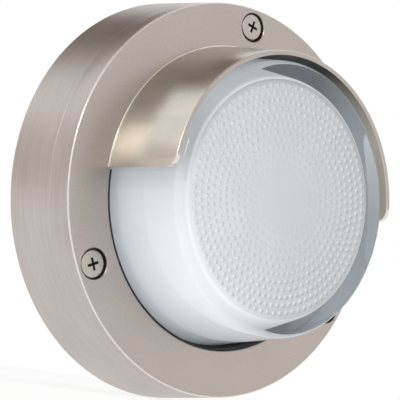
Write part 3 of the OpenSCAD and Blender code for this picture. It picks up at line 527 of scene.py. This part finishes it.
def block(low, high, rounding=0.0):
    """A box between two corners in millimetres, its edges along X rounded."""
    bm = bmesh.new()
    bmesh.ops.create_cube(bm, size=1.0)
    middle = [(a + b) / 2 * MM for a, b in zip(low, high)]
    size = [(b - a) * MM for a, b in zip(low, high)]
    bmesh.ops.scale(bm, vec=size, verts=bm.verts[:])
    bmesh.ops.translate(bm, vec=middle, verts=bm.verts[:])
    if rounding:
        edges = [e for e in bm.edges if abs(e.verts[0].co.x - e.verts[1].co.x) > TINY]
        bmesh.ops.bevel(bm, geom=edges, offset=rounding * MM, offset_type="OFFSET",
                        segments=CORNER_STEPS, profile=0.5, affect="EDGES", clamp_overlap=True,
                        material=-1)
    return bm


def at(bm, angle, radius):
    """Moves a form from the middle to a place round the light."""
    place = (radius * MM * math.cos(math.radians(angle)), 0, radius * MM * math.sin(math.radians(angle)))
    bmesh.ops.translate(bm, vec=place, verts=bm.verts[:])
    return bm


print("steps in a full turn", STEPS)

# %% [markdown]
# ## Cutting and joining
# Recesses are cut and bosses are joined with the Boolean modifier. It could stay on the piece, but then
# every cutter would have to stay in the scene. So it is worked out at once, and its result is kept as
# the mesh.

# %% Helpers that shape objects
def as_object(bm, name):
    mesh = bpy.data.meshes.new(name)
    bm.to_mesh(mesh)
    bm.free()
    piece = bpy.data.objects.new(name, mesh)
    bpy.context.scene.collection.objects.link(piece)
    return piece


def keep_result(piece):
    """The mesh that the modifiers make becomes the piece's own."""
    bpy.context.view_layer.update()
    shaped = piece.evaluated_get(bpy.context.evaluated_depsgraph_get())
    mesh = bpy.data.meshes.new_from_object(shaped)
    piece.modifiers.clear()
    piece.data = mesh


def combine(piece, bm, operation):
    tool = as_object(bm, "tool")
    change = piece.modifiers.new("combine", "BOOLEAN")
    change.operation = operation
    change.solver = "EXACT"
    change.object = tool
    keep_result(piece)
    bpy.data.objects.remove(tool)


def shared_part(bm, other):
    """The form that two forms have in common."""
    piece = as_object(bm, "shared")
    combine(piece, other, "INTERSECT")
    form = bmesh.new()
    form.from_mesh(piece.data)
    bpy.data.objects.remove(piece)
    return form


def soften(piece, width, segments, angle):
    """Rounds each edge that is sharper than the angle."""
    change = piece.modifiers.new("soften", "BEVEL")
    change.width = width * MM
    change.segments = segments
    change.limit_method = "ANGLE"
    change.angle_limit = math.radians(angle)
    change.miter_outer = "MITER_ARC"
    keep_result(piece)


# %% [markdown]
# ## Dressing a piece
# A finished piece gets its material, smooth shading with crisp edges and the body that carries it, and
# the CAD nodes that it stands for are hidden. One casting can show several finishes, such as a burnished
# edge with a painted highlight beside a satin face. Each could be an object of its own, but a single
# mesh has no gaps. So its faces get their finish by a test of where they lie and which way they point.

# %% Helpers that finish a piece
CRISP_ANGLE = 32


def dress(piece, material, body, slot, *nodes):
    """Gives a piece its material, smooth faces with crisp edges and its body, and hides its CAD nodes. The
    slot is not used.
    """
    piece.data.materials.clear()
    piece.data.materials.append(material)
    piece.data.shade_smooth()
    piece.data.set_sharp_from_angle(angle=math.radians(CRISP_ANGLE))
    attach(piece, body)
    if nodes:
        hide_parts(*nodes)
    print(piece.name, "faces", len(piece.data.polygons))


def second_finish(piece, material, test):
    """Gives a material to the faces whose radius, distance, middle and normal pass a test."""
    piece.data.materials.append(material)
    index = len(piece.data.materials) - 1
    for face in piece.data.polygons:
        middle = face.center / MM
        if test(math.hypot(middle.x, middle.z), -middle.y, middle, face.normal):
            face.material_index = index


def off_line(point, radius, angle):
    """How far a point is from the line that stands at a radius and an angle round the light."""
    turn = math.radians(angle)
    return math.hypot(point.x - radius * math.cos(turn), point.z - radius * math.sin(turn))


print("edges sharper than", CRISP_ANGLE, "degrees stay crisp")

# %% [markdown]
# ## Front ring
# The ring is one casting: a flat face, a short side wall, a step on its lower half that presses on the
# gasket, and bosses behind it for the screws. A plain tube would do from the front, but the back can
# show once the cover is lifted. The front outer edge is broken by a small round, which with a painted
# highlight in its colour draws the bright line all the way round.

# %% Turn the ring and join its step and bosses
edge_round = 0.38
opening_round = 0.5
seam_round = 0.05
land_r = 52.9
root = 0.5
boss_r = 4.2
seam_gap = 0.1
recess_wall_t = 1
recess_floor_t = 1.6
small_circle_r = 55.9
small_boss_r = 2.9
small_boss_turn = -60
retainer_d = seat_d - 6.0
root_d = plate_d + root
ring = as_object(turned([
    (skirt_in_r, seam_d, 0), (seam_r, seam_d, seam_round), (ring_r, face_d, edge_round),
    (opening_r, face_d, opening_round), (opening_r, plate_d, 0), (skirt_in_r, plate_d, 0)]),
    "front_ring_cast")
land = turned([(opening_r, seat_d, 0), (land_r, seat_d, 0), (land_r, root_d, 0), (opening_r, root_d, 0)])
lower_half = block((-seam_r, -face_d, -seam_r), (seam_r, 0, 0))
combine(ring, shared_part(land, lower_half), "UNION")
for angle in SCREW_ANGLES.values():
    boss = rod(boss_r, seam_d + seam_gap, root_d, steps=48)
    combine(ring, at(boss, angle, screw_circle_r), "UNION")
    recess_back = rod(recess_r + recess_wall_t, recess_d - recess_floor_t, root_d, steps=48)
    combine(ring, at(recess_back, angle, recess_circle_r), "UNION")
    small_boss = rod(small_boss_r, retainer_d, root_d, steps=32)
    combine(ring, at(small_boss, angle + small_boss_turn, small_circle_r), "UNION")
print("faces with bosses", len(ring.data.polygons))

# %% [markdown]
# ## Recesses and screw holes
# Each screw head lies in a round recess whose rim is broken a little, and its shank passes a hole. Dark
# discs could stand for them, but a real recess keeps its shadow on the right side in every view. They
# are a little narrower and further out than in CAD, as close looks at the photo showed.

# %% Cut the recesses and the screw holes
recess_look_r = 4.8
recess_look_circle_r = 57.25
rim_break = 0.18
screw_hole_r = 2.05
past = 1
for angle in SCREW_ANGLES.values():
    recess = turned([
        (0, recess_d, 0), (recess_look_r, recess_d, 0), (recess_look_r, face_d - rim_break, 0),
        (recess_look_r + 2 * rim_break, face_d + rim_break, 0), (0, face_d + rim_break, 0)], steps=72)
    combine(ring, at(recess, angle, recess_look_circle_r), "DIFFERENCE")
    hole = rod(screw_hole_r, seam_d - past, face_d, steps=48)
    combine(ring, at(hole, angle, screw_circle_r), "DIFFERENCE")
print("faces with recesses", len(ring.data.polygons))

# %% [markdown]
# ## The way for the hood, and the bead at its foot
# The upper half of the opening is wider, so that the hood passes through. A low bead seals the foot of
# the hood and shows as a thin light line. A bright stripe in the material alone could draw it, but a
# real form catches the light only where it should; the bead's lighter colour adds a painted highlight.

# %% Widen the opening and raise the bead
hood_slot = 0.03
hood_side_gap = 0.1
bead_overlap = 0.1
bead_root = 0.5
bead_w = 0.4
bead_h = 0.14
bead_out_round = 0.24
bead_in_round = 0.1


def upper_half():
    """A block round all that lies above the ends of the hood."""
    return block((-seam_r, -face_d - 2 * past, hood_end - hood_side_gap), (seam_r, 0, seam_r))


hood_cut_r = hood_base_in_r + hood_t + hood_slot
hood_way = rod(hood_cut_r, plate_d - past, face_d + past)
combine(ring, shared_part(hood_way, upper_half()), "DIFFERENCE")
bead_in_r = hood_cut_r - bead_overlap
bead_out_r = bead_in_r + bead_w
bead = turned([
    (bead_in_r, face_d - bead_root, 0), (bead_out_r, face_d - bead_root, 0),
    (bead_out_r, face_d + bead_h, bead_out_round), (bead_in_r, face_d + bead_h, bead_in_round)])
combine(ring, shared_part(bead, upper_half()), "UNION")
dress(ring, satin_face, "cover", "ring_metal", "front_ring")

# %% [markdown]
# ## Finishes of the ring
# The side wall is brushed like the housing behind it. The outer edge and the bead are burnished, and
# their lighter colour is a painted highlight. The recesses are rough, and their darker colour is painted
# shade. Painting them by hand would work once, but a test of place and direction still fits after a
# change of size.

# %% Give the ring its finishes
wall_slack = 0.2
face_slack = 0.02
recess_slack = 0.05
recess_below = 0.1
recess_above = 0.3
sideways_y = 0.5


def is_side_wall(radius, distance, middle, normal):
    at_wall = radius > ring_r - wall_slack and distance < face_d - edge_round
    return at_wall and abs(normal.y) < sideways_y


def is_outer_edge(radius, distance, middle, normal):
    return radius > ring_r - edge_round and distance > face_d - edge_round


def is_bead(radius, distance, middle, normal):
    return distance > face_d + face_slack


def is_recess(radius, distance, middle, normal):
    nearest = min(off_line(middle, recess_look_circle_r, angle) for angle in SCREW_ANGLES.values())
    deep = recess_d - recess_below < distance < face_d - recess_above
    return deep and nearest < recess_look_r + recess_slack


second_finish(ring, satin_side, is_side_wall)
second_finish(ring, burnish_and_painted_highlight, is_outer_edge)
second_finish(ring, burnish_and_painted_highlight, is_bead)
second_finish(ring, rough_recess_painted_shade, is_recess)
print("finishes on the ring", len(ring.data.materials))

# %% [markdown]
# ## Hood
# The hood is a tapered half shell with a flange behind the ring. A sheet could be bent with a modifier,
# but its rounded corners would bend too. So the full shell is turned and then cut to its outline from
# the side, which gives both ends and their rounded front corners at once. A small bevel on the cut
# edges catches the light along them.

# %% Turn the hood and cut its ends
hood_edge_r = 0.4
boss_notch = 1.2
hood_out_r = hood_base_in_r + hood_t
hood = as_object(turned([
    (hood_base_in_r, seat_d, 0), (hood_flange_r, seat_d, 0), (hood_flange_r, plate_d, 0),
    (hood_out_r, plate_d, 0), (hood_out_r, face_d, 0),
    (hood_front_in_r + hood_t, hood_front_d, hood_edge_r), (hood_front_in_r, hood_front_d, hood_edge_r),
    (hood_base_in_r, face_d, 0)]), "hood_pressed")
side_view = block((-seam_r, -hood_front_d, hood_end), (seam_r, 0, 2 * seam_r), rounding=hood_corner_r)
combine(hood, side_view, "INTERSECT")
soften(hood, width=0.3, segments=3, angle=35)
room_for_boss = rod(recess_r + boss_notch, 0, root_d, steps=64)
combine(hood, at(room_for_boss, SCREW_ANGLES["top"], recess_circle_r), "DIFFERENCE")
dress(hood, satin_hood, "cover", "hood_metal", "hood")

# %% [markdown]
# ## Finishes of the hood
# The outside is polished, and the inside isn't; its colour is painted shade, dark on the left and
# lighter towards the right. The front band is satin like the ring's face, and the ends are burnished
# with a lighter colour that is a painted highlight. The same kind of test as on the ring tells them apart.

# %% Give the hood its finishes
corner_z = hood_end + hood_corner_r
inward_limit = -0.7
frontal_limit = -0.9
down_limit = -0.1
sideways_limit = 0.8


def is_inside(radius, distance, middle, normal):
    outward = (normal.x * middle.x + normal.z * middle.z) / radius
    return distance > seat_d and outward < inward_limit


def is_front_band(radius, distance, middle, normal):
    return normal.y < frontal_limit and middle.z > corner_z


def is_hood_end(radius, distance, middle, normal):
    downward = normal.z < down_limit and abs(normal.x) < sideways_limit
    return middle.z < corner_z and distance > face_d and downward


second_finish(hood, hood_inside_painted_shade, is_inside)
second_finish(hood, satin_face, is_front_band)
second_finish(hood, burnish_and_painted_highlight, is_hood_end)
print("finishes on the hood", len(hood.data.materials))

# %% [markdown]
# ## Glass cup
# The cup is one pressed piece with a flange that the gasket holds. Glass could be drawn as a thin shell,
# but only a solid of true thickness bends what is behind it as the thick wall of a real cup does.

# %% Turn the cup
flange_t = 4.0
flange_edge_r = 0.4
lens_edge_r = 1.8
lens_inner_r = 2.5
lens_inside_d = lens_front_d - glass_front_t
flange_top_d = flange_d + flange_t
cup = as_object(turned([
    (cavity_r(flange_d), flange_d, 0), (lens_flange_r, flange_d, flange_edge_r),
    (lens_flange_r, flange_top_d, flange_edge_r), (glass_r(flange_top_d), flange_top_d, 0),
    (glass_r(lens_front_d), lens_front_d, lens_edge_r), (0, lens_front_d, 0), (0, lens_inside_d, 0),
    (cavity_r(lens_inside_d), lens_inside_d, lens_inner_r)]), "glass_cup")
dress(cup, pressed_glass, "cover", "lens_glass", "lens")

# %% [markdown]
# ## Frost and ground flange
# On the real cup the frost is the etched skin of the inner wall. Rough glass on the inner faces could
# show it, but it takes many rays to look smooth. So it is a thin lining of its own, sunk a tenth of a
# millimetre into the inner wall, where light that has entered the glass meets it without a gap of air.
# The ground faces of the flange are drawn the same way.

# %% Line the cup and grind its flange
sunk = 0.1
lining_t = 0.35
lining_inner_r = 2.2
lining_back_d = flange_d + 0.2
lining_front_d = lens_inside_d + sunk
disc_limit = -0.8
disc_zone = 0.5


def lining_r(distance):
    return cavity_r(distance) + sunk


def is_front_disc(radius, distance, middle, normal):
    return normal.y < disc_limit and distance > lens_inside_d - disc_zone


lining = as_object(turned([
    (lining_r(lining_back_d), lining_back_d, 0), (lining_r(lens_inside_d), lining_front_d, lens_inner_r),
    (0, lining_front_d, 0), (0, lining_front_d - lining_t, 0),
    (lining_r(lens_inside_d) - lining_t, lining_front_d - lining_t, lining_inner_r),
    (lining_r(lining_back_d) - lining_t, lining_back_d, 0)]), "frost_lining")
dress(lining, frost, "cover", "lens_glass")
second_finish(lining, frost_front, is_front_disc)

under_skin = 0.05
ground_t = 0.25
ground_in_r = cavity_r(flange_d) + under_skin
ground_out_r = lens_flange_r - 0.1
shoulder_r = glass_r(flange_top_d) + 0.3
ground_back_d = flange_d + under_skin
ground_top_d = flange_top_d - under_skin
flange_face = as_object(turned([
    (ground_in_r, ground_back_d, 0), (ground_out_r, ground_back_d, 0), (ground_out_r, ground_top_d, 0),
    (shoulder_r, ground_top_d, 0), (shoulder_r, ground_top_d - ground_t, 0),
    (ground_out_r - ground_t, ground_top_d - ground_t, 0),
    (ground_out_r - ground_t, ground_back_d + ground_t, 0),
    (ground_in_r, ground_back_d + ground_t, 0)]), "ground_flange")
dress(flange_face, ground, "cover", "lens_glass")

# %% [markdown]
# ## A dark lip for the shade in the gap
# On the lower half a thin black line shows in the gap round the glass, where the gap lies in shade.
# The CAD gasket ends deeper, at its seat. So a thin lip of black rubber is raised in front of the wall
# of the opening as painted shade. A dark finish on that wall could fake the line too, but the wall is
# bare metal, and a lip in front of it leaves it so.

# %% Raise the dark lip that stands for the shade in the gap
lip_gap = 0.05
lip_t = 0.6
lip_round = 0.2
lip_above_middle = 0.5
lip_out_r = opening_r - lip_gap
lip_in_r = lip_out_r - lip_t
lip_foot_d = seat_d - 0.2
lip_top_d = face_d - 0.2
# A dark lip of rubber that stands for the shade in the gap.
gasket_lip = as_object(turned([
    (lip_in_r, lip_foot_d, 0), (lip_out_r, lip_foot_d, 0), (lip_out_r, lip_top_d, lip_round),
    (lip_in_r, lip_top_d, lip_round)]), "gasket_lip")
below_hood = block((-seam_r, -face_d, -seam_r), (seam_r, 0, lip_above_middle))
combine(gasket_lip, below_hood, "INTERSECT")
dress(gasket_lip, rubber, "cover", "black_rubber")

# %% [markdown]
# ## Dimples
# The inside of the front carries a pressed pattern: rows of low dimples in circles, each row set half a
# step from the last, and flatter towards the middle. Three rows share one count, so that they stay in
# step. A bump texture could draw them, but a real form keeps its outline and some shading from each
# side; the rest of their shading is painted into their frost. A few faces are enough for one dimple, as
# there are some hundreds, and one small mesh is made once and copied in at each place.

# %% Press the dimples
row_step = 2.4
dimple_pitch = 2.45
dimple_r = 0.8
dimple_h = 0.2
clear_middle_r = 5.0
pattern_r = 35.2
rows_in_band = 3
flattest_r = 7
full_height_over = 20
one_form = bmesh.new()
bmesh.ops.create_uvsphere(one_form, u_segments=8, v_segments=6, radius=1.0)
bmesh.ops.rotate(one_form, cent=(0, 0, 0), matrix=Matrix.Rotation(math.pi / 2, 3, "X"),
                 verts=one_form.verts[:])
bmesh.ops.scale(one_form, vec=(dimple_r * MM, dimple_h * MM, dimple_r * MM), verts=one_form.verts[:])
one_dimple = bpy.data.meshes.new("one_dimple")
one_form.to_mesh(one_dimple)
one_form.free()
dimples = bmesh.new()
made = 0
for row in range(int((pattern_r - clear_middle_r) / row_step)):
    radius = pattern_r - row * row_step
    band_r = pattern_r - (row // rows_in_band * rows_in_band + 1) * row_step
    height = min(1.0, (radius - flattest_r) / full_height_over)
    count = round(math.tau * band_r / dimple_pitch)
    for i in range(count):
        angle = math.tau * (i + 0.5 * (row % 2)) / count
        spot = (radius * MM * math.cos(angle), -lining_front_d * MM, radius * MM * math.sin(angle))
        place = Matrix.Translation(spot) @ Matrix.Diagonal((1, height, 1, 1))
        one_dimple.transform(place)
        dimples.from_mesh(one_dimple)
        one_dimple.transform(place.inverted())
        made += 1
dress(as_object(dimples, "frost_dimples"), dimple_frost_and_painted_shade, "cover", "lens_glass")
print("dimples", made)

# %% [markdown]
# ## Cover screws
# Each screw is a nickel plated pan head with a cross recess. A helix could be swept for its thread, but
# so fine a thread can't be told from stacked ridges, which are turned with the rest. The cross is cut by
# two tapered bars, and its inside is painted dark as shade.

# %% Turn the screws and cut the crosses
head_r = 4.2
head_edge_r = 0.25
head_rim_d = screw_head_d - 0.45
crown_r = head_r * 0.6
crown_d = screw_head_d - 0.12
shank_r = 2.0
thread_pitch = 0.7
thread_depth = 0.3
plain_tip = 0.4
screw_tip_d = back_of("cover_screw_top")
cross_tilt = {"top": 12, "left": 65, "right": 40}
cross_half = 2.35
cross_half_w = 0.48
cross_depth = 1.7
cross_foot = (0.65, 1, 0.7)
cross_floor = 0.3
cross_slack = 0.1
crown_skin = 0.15


def cross_bar(tilt):
    """One of the two bars that cut a cross, narrower at its foot."""
    bar = block((-cross_half, -screw_head_d - past, -cross_half_w),
                (cross_half, -screw_head_d + cross_depth, cross_half_w))
    foot = [v for v in bar.verts if v.co.y > -screw_head_d * MM]
    bmesh.ops.scale(bar, vec=cross_foot, verts=foot)
    bmesh.ops.rotate(bar, cent=(0, 0, 0), matrix=Matrix.Rotation(math.radians(tilt), 3, "Y"),
                     verts=bar.verts[:])
    return bar


def screw_outline():
    corners = [(0, screw_head_d, 0), (crown_r, crown_d, 0), (head_r, head_rim_d, head_edge_r),
               (head_r, recess_d, 0), (shank_r, recess_d, 0)]
    ridge_d = seam_d
    while ridge_d - thread_pitch > screw_tip_d + plain_tip:
        corners += [(shank_r, ridge_d, 0), (shank_r - thread_depth, ridge_d - thread_pitch / 2, 0)]
        ridge_d -= thread_pitch
    return corners + [(shank_r - thread_depth, screw_tip_d, 0), (0, screw_tip_d, 0)]


def cross_test(angle):
    """The test for faces inside the cross of the screw at an angle."""
    def test(radius, distance, middle, normal):
        deep = recess_d + cross_floor < distance < screw_head_d - crown_skin
        return deep and off_line(middle, screw_circle_r, angle) < cross_half + cross_slack
    return test


for side, angle in SCREW_ANGLES.items():
    screw = as_object(turned(screw_outline(), steps=64), "screw_" + side)
    for tilt in (0, 90):
        combine(screw, cross_bar(cross_tilt[side] + tilt), "DIFFERENCE")
    form = bmesh.new()
    form.from_mesh(screw.data)
    at(form, angle, screw_circle_r).to_mesh(screw.data)
    form.free()
    dress(screw, screw_plate, "screw_" + side, "screw_nickel", "cover_screw_" + side)
    second_finish(screw, cross_painted_shade, cross_test(angle))

# %% [markdown]
# ## Rear housing
# The housing has its shape already, except at the seam: there its chamfer would show as a bright groove,
# and on the real light the seam is a hairline. It could be turned again like the ring, but only the seam
# is wrong. So a copy of its mesh is made, and the two rings of points of the chamfer move together,
# along the side and along the seam face.

# %% Close the seam of the housing
hairline = 0.06
seam_zone = 0.5
slack = 0.1
housing_form = bmesh.new()
housing_form.from_mesh(frame["nodes"]["rear_housing"].data)
side_slope = (reach_of("rear_housing") - ring_r) / face_d
moved = 0
for vert in housing_form.verts:
    radius = math.hypot(vert.co.x, vert.co.z) / MM
    distance = -vert.co.y / MM
    if radius < seam_r - seam_zone or not seam_d - seam_zone <= distance <= seam_d + slack:
        continue
    if distance > seam_d - slack:
        new_radius = seam_r - hairline
        new_distance = seam_d
    else:
        new_radius = ring_r + (face_d - seam_d + hairline) * side_slope
        new_distance = seam_d - hairline
    vert.co = Vector((vert.co.x * new_radius / radius, -new_distance * MM,
                      vert.co.z * new_radius / radius))
    moved += 1
housing = as_object(housing_form, "rear_housing_cast")
dress(housing, satin_side, "housing", "housing_metal", "rear_housing")
print("points moved", moved)

# %% [markdown]
# ## The nodes that keep their CAD shape
# All other pieces, most of them inside the light, already have the right shape. They keep their CAD
# meshes and only get finishes. Each could be dressed by hand, but each node's record names a material
# slot, so one table from slot to finish does it. The nodes that a piece above stands for get theirs too.

# %% Give every node its finish
FINISHES = {
    "housing_metal": satin_side, "ring_metal": satin_face, "hood_metal": satin_hood,
    "screw_nickel": screw_plate, "lens_glass": pressed_glass, "lamp_quartz": quartz,
    "black_rubber": rubber, "foam_rubber": foam, "silicone_bushing": silicone, "zinc_steel": zinc,
    "insert_brass": brass, "contact_bronze": bronze, "plain_aluminium": aluminium,
    "white_enamel": enamel, "holder_ceramic": steatite, "block_nylon": nylon, "washer_nylon": nylon,
    "brown_sleeving": brown, "blue_sleeving": blue, "green_sleeving": green, "tinned_copper": tin,
    "green_screw": green_steel, "pin_nickel": pin_wire, "tungsten": tungsten,
}
for part in frame["record"]["subparts"]:
    node = frame["nodes"][part["node"]]
    node.data.materials.clear()
    node.data.materials.append(FINISHES[part["material_slot"]])

# %% [markdown]
# ## Floor and background
# The light stands on a pale floor in a white room. More light could make the room white, but it would
# also wash out the metal. So rays from the camera, and rays that metal and glass send out, see the room
# as white, while the light that it gives is weaker. For those rays the floor is mostly white and partly
# paint, so that it keeps the soft shadow.

# %% Build the room
WHITE_FOR = ("Is Camera Ray", "Is Glossy Ray", "Is Transmission Ray")
floor_gap = 0.1
floor_half = 3.0
floor_white = 0.8
room_light = 0.85
floor_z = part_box("rear_housing")[0].z - floor_gap * MM
floor_form = bmesh.new()
bmesh.ops.create_grid(floor_form, x_segments=1, y_segments=1, size=floor_half)
bmesh.ops.translate(floor_form, vec=(0, 0, floor_z), verts=floor_form.verts[:])
floor = as_object(floor_form, "floor")
floor_paint, tree = start_material("pale_floor")
share = add(tree, "Math", {"operation": "MULTIPLY"}, {1: floor_white}, {0: ray_is(tree, *WHITE_FOR)})
paint = add(tree, "BsdfDiffuse", values={"Color": linear("#fbfbfa")})
white = add(tree, "Emission", values={"Color": linear("#ffffff"), "Strength": 1.0})
finish_material(tree, add(tree, "MixShader", links={
    0: share.outputs[0], 1: paint.outputs[0], 2: white.outputs[0]}))
floor.data.materials.append(floor_paint)

world = bpy.data.worlds.new("white_room")
bpy.context.scene.world = world
world.use_nodes = True
tree = world.node_tree
tree.nodes.clear()
strength = spread(tree, ray_is(tree, *WHITE_FOR), room_light, 1.0)
room = add(tree, "Background", values={"Color": linear("#ffffff")}, links={"Strength": strength})
add(tree, "OutputWorld", links={"Surface": room.outputs[0]})
print("floor at", round(floor_z, 4))

# %% [markdown]
# ## Lamps
# A soft lamp on the left gives the metal its form. In a bright room light also comes back up from the
# table. The paint of the floor sends some up, but too little. So a second lamp lies just above the
# floor and shines up. It would show as a hard square in the metal, so reflections don't see it.

# %% Hang the lamps
light_middle = (0, -0.03, 0)
above_floor = 0.0005
table_x = -0.18
table_y = -0.21


def facing(place, target):
    """The turn that points a lamp or a card from its place to a target."""
    return (Vector(target) - Vector(place)).to_track_quat("-Z", "Y")


def soft_lamp(name, place, size, watts, target=light_middle, in_metal=True):
    lamp = bpy.data.objects.new(name, bpy.data.lights.new(name, "AREA"))
    lamp.data.size = size
    lamp.data.energy = watts
    lamp.visible_glossy = in_metal
    lamp.location = place
    lamp.rotation_euler = facing(place, target).to_euler()
    bpy.context.scene.collection.objects.link(lamp)


soft_lamp("key_left", (-0.7, -0.62, 0.4), size=0.2, watts=1.1)
soft_lamp("table_glow", (table_x, table_y, floor_z + above_floor), size=0.34, watts=0.58,
          target=(table_x, table_y, 1), in_metal=False)
print("lamps", len(bpy.data.lights))

# %% [markdown]
# ## Cards
# A white room leaves satin metal flat. A photographer holds dim cards round it, and metal shows them as
# its darker tones. Lamps of less light could do the same, but a card in the right place darkens only
# what mirrors it. The camera and diffuse light don't see the cards, and they throw no shadow.

# %% Hold up the cards
def dim_card(name, place, size, tone):
    form = bmesh.new()
    bmesh.ops.create_grid(form, x_segments=1, y_segments=1, size=size / 2)
    bmesh.ops.rotate(form, cent=(0, 0, 0), matrix=facing(place, light_middle).to_matrix(),
                     verts=form.verts[:])
    bmesh.ops.translate(form, vec=place, verts=form.verts[:])
    card = as_object(form, name)
    paper, tree = start_material(name + "_paper")
    finish_material(tree, add(tree, "Emission", values={"Color": linear(tone), "Strength": 1.0}))
    card.data.materials.append(paper)
    card.visible_camera = False
    card.visible_diffuse = False
    card.visible_shadow = False


dim_card("card_above", (0.0, 0.78, 0.86), size=0.72, tone="#766b60")
dim_card("card_top", (-0.14, -0.4, 0.92), size=0.95, tone="#aca298")
dim_card("card_back", (-0.95, 0.8, 0.15), size=0.7, tone="#d8d1cb")

bpy.context.scene.view_settings.view_transform = "Standard"
print("view transform", bpy.context.scene.view_settings.view_transform)
